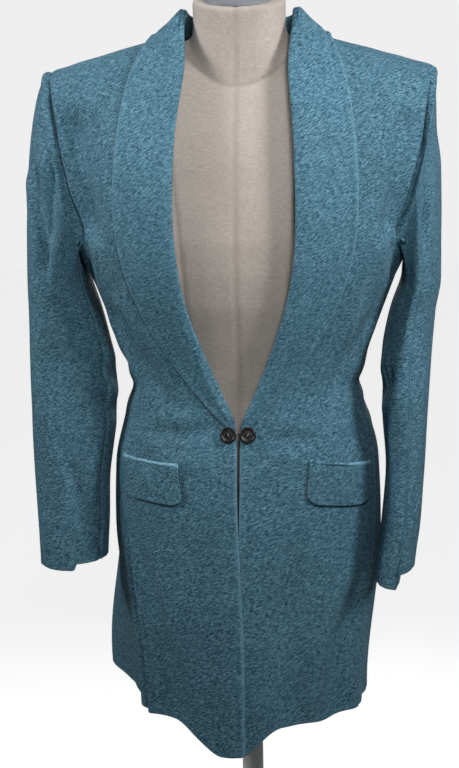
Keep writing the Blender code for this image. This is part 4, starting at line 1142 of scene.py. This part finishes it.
def node_group(name, inputs, outputs):
    """An empty shader node group with named sockets."""
    tree = bpy.data.node_groups.new(name, "ShaderNodeTree")
    for kind, label, value in inputs:
        socket = tree.interface.new_socket(label, in_out="INPUT", socket_type="NodeSocket" + kind)
        if value is not None:
            socket.default_value = value
    for kind, label in outputs:
        tree.interface.new_socket(label, in_out="OUTPUT", socket_type="NodeSocket" + kind)
    return tree, tree.nodes.new("NodeGroupInput").outputs, tree.nodes.new("NodeGroupOutput").inputs


def feed(tree, target, source):
    """Link a socket, or set its value where the source is a plain one."""
    if isinstance(source, bpy.types.NodeSocket):
        tree.links.new(source, target)
    else:
        target.default_value = source


def add_node(tree, kind, given=None, **settings):
    """A node with its settings, and with what each named or numbered socket is given."""
    node = tree.nodes.new("ShaderNode" + kind)
    for name, value in settings.items():
        setattr(node, name, value)
    for socket, source in (given or {}).items():
        feed(tree, node.inputs[socket], source)
    return node


def noise(tree, vector, scale, detail=2.0, roughness=0.55):
    given = {"Vector": vector, "Scale": scale, "Detail": detail, "Roughness": roughness}
    return add_node(tree, "TexNoise", given).outputs["Fac"]


def spread(tree, value, low, high, to_low=0.0, to_high=1.0):
    """Value between low and high taken smoothly to the given span."""
    given = {"Value": value, "From Min": low, "From Max": high, "To Min": to_low, "To Max": to_high}
    return add_node(tree, "MapRange", given, interpolation_type="SMOOTHSTEP").outputs["Result"]


def blend_colour(tree, share, first, second, kind="MIX"):
    given = {0: share, 6: first, 7: second}
    return add_node(tree, "Mix", given, data_type="RGBA", blend_type=kind).outputs[2]


def combine(tree, operation, first, second):
    """Two numbers taken together by a mathematical operation."""
    return add_node(tree, "Math", {0: first, 1: second}, operation=operation).outputs[0]


def mapped(tree, vector, rotation=(0.0, 0.0, 0.0), scale=(1.0, 1.0, 1.0), location=(0.0, 0.0, 0.0)):
    given = {"Vector": vector, "Rotation": rotation, "Scale": scale, "Location": location}
    return add_node(tree, "Mapping", given).outputs["Vector"]


def rgba(colour):
    return (*colour, 1.0)


def slub_group():
    """Slubbed cloth: short slanted dark and light yarn streaks over a broad, faint dye change.

    Puts out the colour, the roughness and the height of the yarns.
    """
    tree, given, out = node_group(
        "slub_weave",
        (("Vector", "Vector", None), ("Vector", "Slant", (0.0, 0.0, 0.0)),
         ("Vector", "Streaks", (200.0, 1050.0, 1.0)),
         ("Color", "Base", (0.1, 0.2, 0.25, 1.0)), ("Color", "Dark", (0.02, 0.06, 0.1, 1.0)),
         ("Color", "Light", (0.2, 0.4, 0.45, 1.0)), ("Float", "Contrast", 0.8), ("Float", "Edge", 0.0)),
        (("Color", "Color"), ("Float", "Roughness"), ("Float", "Height")))
    turned = mapped(tree, given["Vector"], rotation=given["Slant"])
    waver = noise(tree, turned, 60.0, 1.0)
    bends = {0: waver, 1: (0.0006, 0.0016, 0.0), 2: turned}
    bent = add_node(tree, "VectorMath", bends, operation="MULTIPLY_ADD")
    streaks = mapped(tree, bent.outputs[0], scale=given["Streaks"])
    dark_yarn = noise(tree, streaks, 1.0, 1.0, 0.5)
    light_yarn = noise(tree, mapped(tree, streaks, location=(7.3, 31.0, 4.0)), 1.15, 1.0, 0.5)
    patches = noise(tree, mapped(tree, turned, scale=(0.45, 1.0, 1.0)), 210.0, 1.0)
    cluster = spread(tree, patches, 0.36, 0.64, 0.80, 1.10)
    grain = noise(tree, given["Vector"], 1050.0, 0.0)
    dye = noise(tree, given["Vector"], 11.0, 3.0)
    dark = combine(tree, "MULTIPLY", spread(tree, dark_yarn, 0.43, 0.56), given["Contrast"])
    dark = combine(tree, "MULTIPLY", dark, cluster)
    light = combine(tree, "MULTIPLY", spread(tree, light_yarn, 0.51, 0.66, 0.0, 0.70), given["Contrast"])
    colour = blend_colour(tree, dark, given["Base"], given["Dark"])
    colour = blend_colour(tree, light, colour, given["Light"])
    fleck = spread(tree, grain, 0.32, 0.68, 0.70, 1.26)
    shade = combine(tree, "ADD", fleck, spread(tree, dye, 0.3, 0.7, -0.07, 0.06))
    colour = blend_colour(tree, 1.0, colour, shade, "MULTIPLY")
    # Paler edges and painted highlights: the cloth is blended towards the light colour along the edge mask.
    paler_edges_and_painted_highlights = combine(tree, "MULTIPLY", given["Edge"], 0.38)
    colour = blend_colour(tree, paler_edges_and_painted_highlights, colour, given["Light"])
    feed(tree, out["Color"], colour)
    feed(tree, out["Roughness"], spread(tree, light_yarn, 0.35, 0.7, 0.86, 0.70))
    height = combine(tree, "SUBTRACT", light_yarn, combine(tree, "MULTIPLY", dark_yarn, 0.8))
    feed(tree, out["Height"], combine(tree, "ADD", height, combine(tree, "MULTIPLY", grain, 0.5)))
    return tree


def plain_weave_group():
    """Plain linen weave on Object coordinates: crossing fine yarns, uneven thickness and faint soiling."""
    tree, given, out = node_group(
        "plain_weave",
        (("Vector", "Vector", None), ("Color", "Base", (0.5, 0.45, 0.4, 1.0)),
         ("Color", "Shade", (0.4, 0.35, 0.3, 1.0)), ("Float", "Edge", 0.0)),
        (("Color", "Color"), ("Float", "Roughness"), ("Float", "Height")))
    weft = noise(tree, mapped(tree, given["Vector"], scale=(160.0, 160.0, 1500.0)), 1.0, 2.0)
    warp = noise(tree, mapped(tree, given["Vector"], scale=(1500.0, 1500.0, 160.0)), 1.0, 2.0)
    soil = noise(tree, given["Vector"], 9.0, 4.0)
    yarns = combine(tree, "ADD", weft, warp)
    soiled = spread(tree, soil, 0.45, 0.75, 0.0, 0.25)
    share = combine(tree, "ADD", spread(tree, yarns, 0.8, 1.25, 0.0, 0.45), soiled)
    colour = blend_colour(tree, share, given["Base"], given["Shade"])
    colour = blend_colour(tree, combine(tree, "MULTIPLY", given["Edge"], 0.5), colour, given["Shade"])
    feed(tree, out["Color"], colour)
    feed(tree, out["Roughness"], spread(tree, yarns, 0.8, 1.2, 0.78, 0.92))
    feed(tree, out["Height"], yarns)
    return tree


def new_material(name, **constants):
    """A material with its shader, whose constant values are set on its own sockets."""
    skin = bpy.data.materials.new(name)
    skin.use_nodes = True
    shader = skin.node_tree.nodes["Principled BSDF"]
    for label, value in constants.items():
        shader.inputs[label.replace("_", " ")].default_value = value
    return skin, skin.node_tree, shader


def object_place(tree):
    return add_node(tree, "TexCoord").outputs["Object"]


def dress(tree, shader, colour, roughness, height=None, strength=0.0, distance=0.0):
    """Feed a shader its colour and roughness, and its normal from a bump where a height is given."""
    feed(tree, shader.inputs["Base Color"], colour)
    feed(tree, shader.inputs["Roughness"], roughness)
    if height is not None:
        given = {"Height": height, "Strength": strength, "Distance": distance}
        feed(tree, shader.inputs["Normal"], add_node(tree, "Bump", given).outputs["Normal"])


def dress_woven(tree, shader, weave, place, values, strength, distance):
    """Feed a shader from a weave's group, laid at a place on the piece and changed along its edge mask."""
    edge = add_node(tree, "Attribute", attribute_name="edge").outputs["Fac"]
    given = {"Vector": place, "Edge": edge, **values}
    cloth = add_node(tree, "Group", given, node_tree=bpy.data.node_groups[weave]).outputs
    dress(tree, shader, cloth["Color"], cloth["Roughness"], cloth["Height"], strength, distance)


def slub_material(name, colours, slant, contrast):
    """Coat cloth: the slub weave on the piece's own UV map, paler along edges, with painted highlights on
    darts and welts.
    """
    skin, tree, shader = new_material(
        name, Sheen_Weight=0.06, Sheen_Roughness=0.4, Sheen_Tint=(0.62, 0.80, 0.86, 1.0),
        Specular_IOR_Level=0.22)
    place = add_node(tree, "UVMap", uv_map="cloth").outputs["UV"]
    values = dict(zip(("Base", "Dark", "Light"), map(rgba, colours)))
    values.update(Slant=(0.0, 0.0, -slant), Contrast=contrast)
    dress_woven(tree, shader, "slub_weave", place, values, 0.7, 0.0007)
    return skin


def linen_material(base, shade):
    """Dress form cover: plain weave with darkened seams."""
    skin, tree, shader = new_material("form_linen", Sheen_Weight=0.15, Specular_IOR_Level=0.2)
    values = {"Base": rgba(base), "Shade": rgba(shade)}
    dress_woven(tree, shader, "plain_weave", object_place(tree), values, 0.35, 0.0005)
    return skin


def horn_material():
    """Black horn buttons: cloudy dark streaks under a soft polish, with fine turning scratches."""
    skin, tree, shader = new_material(
        "button_horn", Specular_IOR_Level=0.35, Coat_Weight=0.1, Coat_Roughness=0.3)
    place = object_place(tree)
    cloud = noise(tree, mapped(tree, place, scale=(1.0, 1.0, 2.4)), 260.0, 4.0, 0.65)
    dark, pale = rgba((0.004, 0.004, 0.005)), rgba((0.014, 0.013, 0.014))
    colour = blend_colour(tree, spread(tree, cloud, 0.45, 0.7), dark, pale)
    polish = spread(tree, noise(tree, place, 1400.0, 2.0), 0.3, 0.7, 0.30, 0.48)
    dress(tree, shader, colour, polish, noise(tree, place, 900.0, 3.0), 0.15, 0.0003)
    return skin


def thread_material(name, colour):
    """Buttonhole twist: fine fibres along a cord."""
    skin, tree, shader = new_material(name, Sheen_Weight=0.3, Specular_IOR_Level=0.3)
    fibres = noise(tree, object_place(tree), 2600.0, 2.0)
    pale = tuple(min(1.0, part * 1.5 + 0.01) for part in colour)
    twist = blend_colour(tree, spread(tree, fibres, 0.35, 0.7), rgba(colour), rgba(pale))
    dress(tree, shader, twist, spread(tree, fibres, 0.3, 0.7, 0.55, 0.8), fibres, 0.4, 0.0003)
    return skin


def painted_material(name, colour, shade, gloss):
    """Painted wood or powder-coated metal: orange-peel bump, faint handling marks and dulled patches."""
    skin, tree, shader = new_material(name, Specular_IOR_Level=0.5, Metallic=0.0)
    place = object_place(tree)
    marks = noise(tree, mapped(tree, place, scale=(1.0, 1.0, 0.35)), 38.0, 5.0, 0.65)
    worn = blend_colour(tree, spread(tree, marks, 0.5, 0.8, 0.0, 0.7), rgba(colour), rgba(shade))
    peel = noise(tree, place, 700.0, 1.0)
    dress(tree, shader, worn, spread(tree, marks, 0.35, 0.7, gloss, gloss + 0.18), peel, 0.12, 0.0004)
    return skin


def stage_material(name, colour):
    """Matt pale floor with a barely seen grain, which the camera sees as bright as its surround."""
    skin, tree, shader = new_material(name, Specular_IOR_Level=0.1, Emission_Color=rgba(colour))
    grain = noise(tree, object_place(tree), 6.0, 4.0)
    pale = tuple(part * 0.985 for part in colour)
    floor = blend_colour(tree, grain, rgba(colour), rgba(pale))
    dress(tree, shader, floor, spread(tree, grain, 0.3, 0.7, 0.85, 0.95))
    feed(tree, shader.inputs["Emission Strength"], add_node(tree, "LightPath").outputs["Is Camera Ray"])
    return skin


# Add-on: settings, operators and panel


def colour_setting(name, description, default):
    return bpy.props.FloatVectorProperty(
        name=name, description=description, default=default, subtype="COLOR", min=0.0, max=1.0)


class CoatClothSettings(bpy.types.PropertyGroup):
    """Colours and weave of the coat's cloth."""

    base: colour_setting("Base", "Main colour of the cloth", (0.068, 0.176, 0.242))
    dark: colour_setting("Dark yarn", "Colour of the dark slub yarns", (0.016, 0.052, 0.088))
    # The light colour is also laid along the edge mask: paler edges, and painted highlights on the darts and
    # welts.
    light: colour_setting("Light yarn", "Colour of the light yarns and rubbed edges", (0.170, 0.330, 0.420))
    slant: bpy.props.FloatProperty(
        name="Slant", description="How far the yarn streaks rise towards the right", default=0.42,
        subtype="ANGLE", unit="ROTATION")
    contrast: bpy.props.FloatProperty(
        name="Contrast", description="Strength of the yarn streaks", default=0.95, min=0.0, max=1.0,
        subtype="FACTOR")


class CoatFormSettings(bpy.types.PropertyGroup):
    """Colours and seams of the dress form."""

    linen: colour_setting("Linen", "Colour of the form's cover", (0.425, 0.378, 0.345))
    linen_shade: colour_setting("Linen shade", "Darker yarns and seams of the cover", (0.250, 0.210, 0.180))
    seam_depth: bpy.props.FloatProperty(
        name="Seam depth", description="How deep the cover's seams are pressed in", default=0.0011,
        unit="LENGTH", min=0.0, max=0.004)
    cap: colour_setting("Cap", "Colour of the painted cap on the neck", (0.170, 0.180, 0.200))
    stand: colour_setting("Stand", "Colour of the pole and base", (0.780, 0.780, 0.765))


class CoatStageSettings(bpy.types.PropertyGroup):
    """Studio round the coat."""

    floor: colour_setting("Floor", "Colour of the floor", (0.800, 0.800, 0.800))
    light_power: bpy.props.FloatProperty(
        name="Light power", description="Power in watts that each lamp gives its share of", default=6.2,
        min=0.0, unit="POWER")
    ambient: bpy.props.FloatProperty(
        name="Ambient", description="Strength of the light from all round", default=0.06, min=0.0)
    camera_distance: bpy.props.FloatProperty(
        name="Camera distance", description="Distance of the camera from the stand's axis", default=2.0,
        unit="LENGTH", min=0.5)


def coat_skins():
    """The coat's cloth materials, made on first use."""
    cloth = bpy.context.scene.coat_cloth
    if "slub_weave" not in bpy.data.node_groups:
        slub_group()
    base, dark, light = tuple(cloth.base), tuple(cloth.dark), tuple(cloth.light)
    plain = (base, dark, light)
    recipes = {
        "coat_body_slub": (plain, 1.0, 1.0),
        # The shawl's copy has a base painted 10% lighter, painted light for the brightly lit lapels; its
        # yarns slant further.
        "coat_shawl_painted_light": ((tuple(part * 1.10 for part in base), dark, light), 1.2, 0.9),
        "coat_sleeve_slub": (plain, 0.75, 1.0),
        "coat_flap_slub": (plain, 1.0, 1.0),
        # The welt's copy has a much paler light colour, painted on as its highlight.
        "coat_welt_painted_highlight": ((base, dark, tuple(part * 1.8 for part in light)), 1.0, 1.0),
    }
    made = {}
    for name, (colours, turned, strong) in recipes.items():
        made[name] = bpy.data.materials.get(name) or slub_material(
            name, colours, cloth.slant * turned, cloth.contrast * strong)
    return made


class COAT_OT_body(bpy.types.Operator):
    """Build the fronts, side panels and backs"""

    bl_idname = "coat.build_body"
    bl_label = "Body panels"

    def execute(self, context):
        skin = coat_skins()["coat_body_slub"]
        for side in SIDES:
            make_front(side, skin)
            make_side(side, skin)
            make_back(side, skin)
        return {"FINISHED"}


class COAT_OT_shawl(bpy.types.Operator):
    """Build both halves of the shawl collar"""

    bl_idname = "coat.build_shawl"
    bl_label = "Shawl collar"

    def execute(self, context):
        skin = coat_skins()["coat_shawl_painted_light"]
        for side in SIDES:
            make_shawl(side, skin)
        return {"FINISHED"}


class COAT_OT_sleeves(bpy.types.Operator):
    """Build both two-piece sleeves"""

    bl_idname = "coat.build_sleeves"
    bl_label = "Sleeves"

    def execute(self, context):
        skin = coat_skins()["coat_sleeve_slub"]
        for side in SIDES:
            make_sleeve(side, skin)
        return {"FINISHED"}


class COAT_OT_pockets(bpy.types.Operator):
    """Build the pocket flaps and welts"""

    bl_idname = "coat.build_pockets"
    bl_label = "Pockets"

    def execute(self, context):
        skins = coat_skins()
        for side in SIDES:
            make_pocket(side, skins["coat_flap_slub"], skins["coat_welt_painted_highlight"])
        return {"FINISHED"}


class COAT_OT_buttons(bpy.types.Operator):
    """Build the two linked buttons and their threads"""

    bl_idname = "coat.build_buttons"
    bl_label = "Buttons"

    def execute(self, context):
        horn = horn_material()
        for side in SIDES:
            make_button(side, horn)
        pale = thread_material("stitch_thread", (0.20, 0.23, 0.25))
        dark = thread_material("link_thread", (0.015, 0.016, 0.02))
        make_threads(pale, dark)
        return {"FINISHED"}


class COAT_OT_form(bpy.types.Operator):
    """Dress the form, its cap, pole and base"""

    bl_idname = "coat.build_form"
    bl_label = "Dress form"

    def execute(self, context):
        form = context.scene.coat_form
        plain_weave_group()
        make_form_cover(linen_material(tuple(form.linen), tuple(form.linen_shade)), form.seam_depth)
        stand = tuple(form.stand)
        dull = tuple(part * 0.82 for part in stand)
        recipes = {
            "form_cap": ("cap_paint", tuple(form.cap), (0.11, 0.12, 0.135), 0.45),
            "form_pole": ("pole_coat", stand, dull, 0.32),
            "form_base": ("base_coat", stand, dull, 0.38),
        }
        for node, recipe in recipes.items():
            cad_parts[node].material_slots[0].material = painted_material(*recipe)
        return {"FINISHED"}


class COAT_OT_stage(bpy.types.Operator):
    """Set up the floor, lights and camera"""

    bl_idname = "coat.build_stage"
    bl_label = "Studio"

    def execute(self, context):
        stage = context.scene.coat_stage
        make_floor(stage_material("studio_floor", tuple(stage.floor)))
        make_lights(stage.light_power, stage.ambient)
        make_camera(stage.camera_distance)
        context.scene.view_settings.view_transform = "Standard"
        return {"FINISHED"}


FLOOR_REACH = 9.0
FLOOR_DROP = 0.0004


def make_floor(skin):
    """Flat pale floor, just under the stand's foot; the pale surround carries on beyond it."""
    across = np.linspace(-FLOOR_REACH, FLOOR_REACH, 5)
    x, y = np.meshgrid(across, across)
    points = np.stack([x, y, 0.0 * x - FLOOR_DROP], axis=-1).reshape(-1, 3)
    at = np.arange(x.size).reshape(x.shape)
    faces = np.stack([at[:-1, :-1], at[:-1, 1:], at[1:, 1:], at[1:, :-1]], axis=-1).reshape(-1, 4)
    mesh = new_mesh("studio_floor", points, faces)
    mesh.materials.append(skin)
    add_object("studio_floor", mesh)


Lamp = namedtuple("Lamp", "name place size share spread")
LAMPS = rows_of(
    Lamp,
    ("left", (-1.80, -0.45, 2.00), 0.5, 0.60, 60.0),
    ("right", (1.62, -0.80, 2.20), 0.5, 0.72, 60.0),
    ("front", (0.45, -1.75, 2.20), 0.5, 0.44, 57.0),
    ("back", (0.0, 2.4, 1.6), 1.4, 2.20, 120.0),
)
LAMP_AIM = (0.0, 0.0, 1.27)
# The camera sees the surround as pale grey; the coat is lit by a faint green-blue one.
SURROUND_SEEN = 0.80
SURROUND_TINT = (0.82, 1.0, 0.92)


def make_lights(power, ambient):
    """Soft lights at both sides, in front and behind, all aimed at the chest, and the surround."""
    for row in LAMPS:
        lamp = bpy.data.lights.new("light_" + row.name, "AREA")
        lamp.energy = power * row.share
        lamp.size = row.size
        lamp.spread = np.radians(row.spread)
        thing = add_object("light_" + row.name, lamp)
        thing.location = row.place
        thing.rotation_mode = "QUATERNION"
        thing.rotation_quaternion = (Vector(LAMP_AIM) - Vector(row.place)).to_track_quat("-Z", "Y")
    world = bpy.data.worlds.new("studio_surround")
    world.use_nodes = True
    tree = world.node_tree
    sockets = tree.nodes["Background"].inputs
    seen = add_node(tree, "LightPath").outputs["Is Camera Ray"]
    feed(tree, sockets["Color"], blend_colour(tree, seen, rgba(SURROUND_TINT), (1.0, 1.0, 1.0, 1.0)))
    glow = combine(tree, "MULTIPLY", seen, SURROUND_SEEN)
    feed(tree, sockets["Strength"], combine(tree, "ADD", glow, ambient))
    bpy.context.scene.world = world


# The camera's turn, downward tilt and roll in degrees, its height and lens, and its shift in frame heights.
CAMERA_TURNS = (5.0, 10.7, 1.0)
CAMERA_HEIGHT = 1.33
CAMERA_LENS = 82.875
CAMERA_SHIFT = -17.0 / 768.0


def make_camera(distance):
    """Camera a little to the wearer's left, looking slightly down, with the picture's small roll."""
    yaw, tilt, roll = np.radians(CAMERA_TURNS)
    right = np.array([np.cos(yaw), np.sin(yaw), 0.0])
    ahead = np.array([-np.sin(yaw), np.cos(yaw), 0.0])
    forward = ahead * np.cos(tilt) - UPRIGHT * np.sin(tilt)
    up = ahead * np.sin(tilt) + UPRIGHT * np.cos(tilt)
    turned_right = right * np.cos(roll) - up * np.sin(roll)
    turned_up = up * np.cos(roll) + right * np.sin(roll)
    place = Matrix(np.stack([turned_right, turned_up, -forward]).tolist()).transposed().to_4x4()
    place.translation = (distance * np.sin(yaw), -distance * np.cos(yaw), CAMERA_HEIGHT)
    lens = bpy.data.cameras.new("camera")
    lens.lens = CAMERA_LENS
    lens.sensor_width = 36.0
    lens.shift_x = CAMERA_SHIFT
    lens.clip_start = 0.05
    lens.clip_end = 50.0
    camera = add_object("camera", lens)
    camera.matrix_world = place
    bpy.context.scene.camera = camera


class COAT_PT_panel(bpy.types.Panel):
    """Lists the coat's settings and the steps that build it"""

    bl_label = "Coat"
    bl_idname = "COAT_PT_panel"
    bl_space_type = "VIEW_3D"
    bl_region_type = "UI"
    bl_category = "Coat"

    def draw(self, context):
        for name in SETTINGS:
            settings = getattr(context.scene, name)
            box = self.layout.box()
            for label in settings.__annotations__:
                box.prop(settings, label)
        for step in STEPS:
            self.layout.operator(step.bl_idname)


STEPS = (
    COAT_OT_body, COAT_OT_shawl, COAT_OT_sleeves, COAT_OT_pockets,
    COAT_OT_buttons, COAT_OT_form, COAT_OT_stage)
SETTINGS = {"coat_cloth": CoatClothSettings, "coat_form": CoatFormSettings, "coat_stage": CoatStageSettings}
CLASSES = tuple(SETTINGS.values()) + STEPS + (COAT_PT_panel,)


def register():
    for item in CLASSES:
        bpy.utils.register_class(item)
    for name, item in SETTINGS.items():
        setattr(bpy.types.Scene, name, bpy.props.PointerProperty(type=item))


def unregister():
    for name in SETTINGS:
        delattr(bpy.types.Scene, name)
    for item in CLASSES[::-1]:
        bpy.utils.unregister_class(item)


def main():
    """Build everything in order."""
    register()
    bpy.ops.coat.build_body()
    bpy.ops.coat.build_shawl()
    bpy.ops.coat.build_sleeves()
    bpy.ops.coat.build_pockets()
    bpy.ops.coat.build_buttons()
    bpy.ops.coat.build_form()
    bpy.ops.coat.build_stage()
    bpy.context.view_layer.update()


if __name__ == "__main__":
    main()
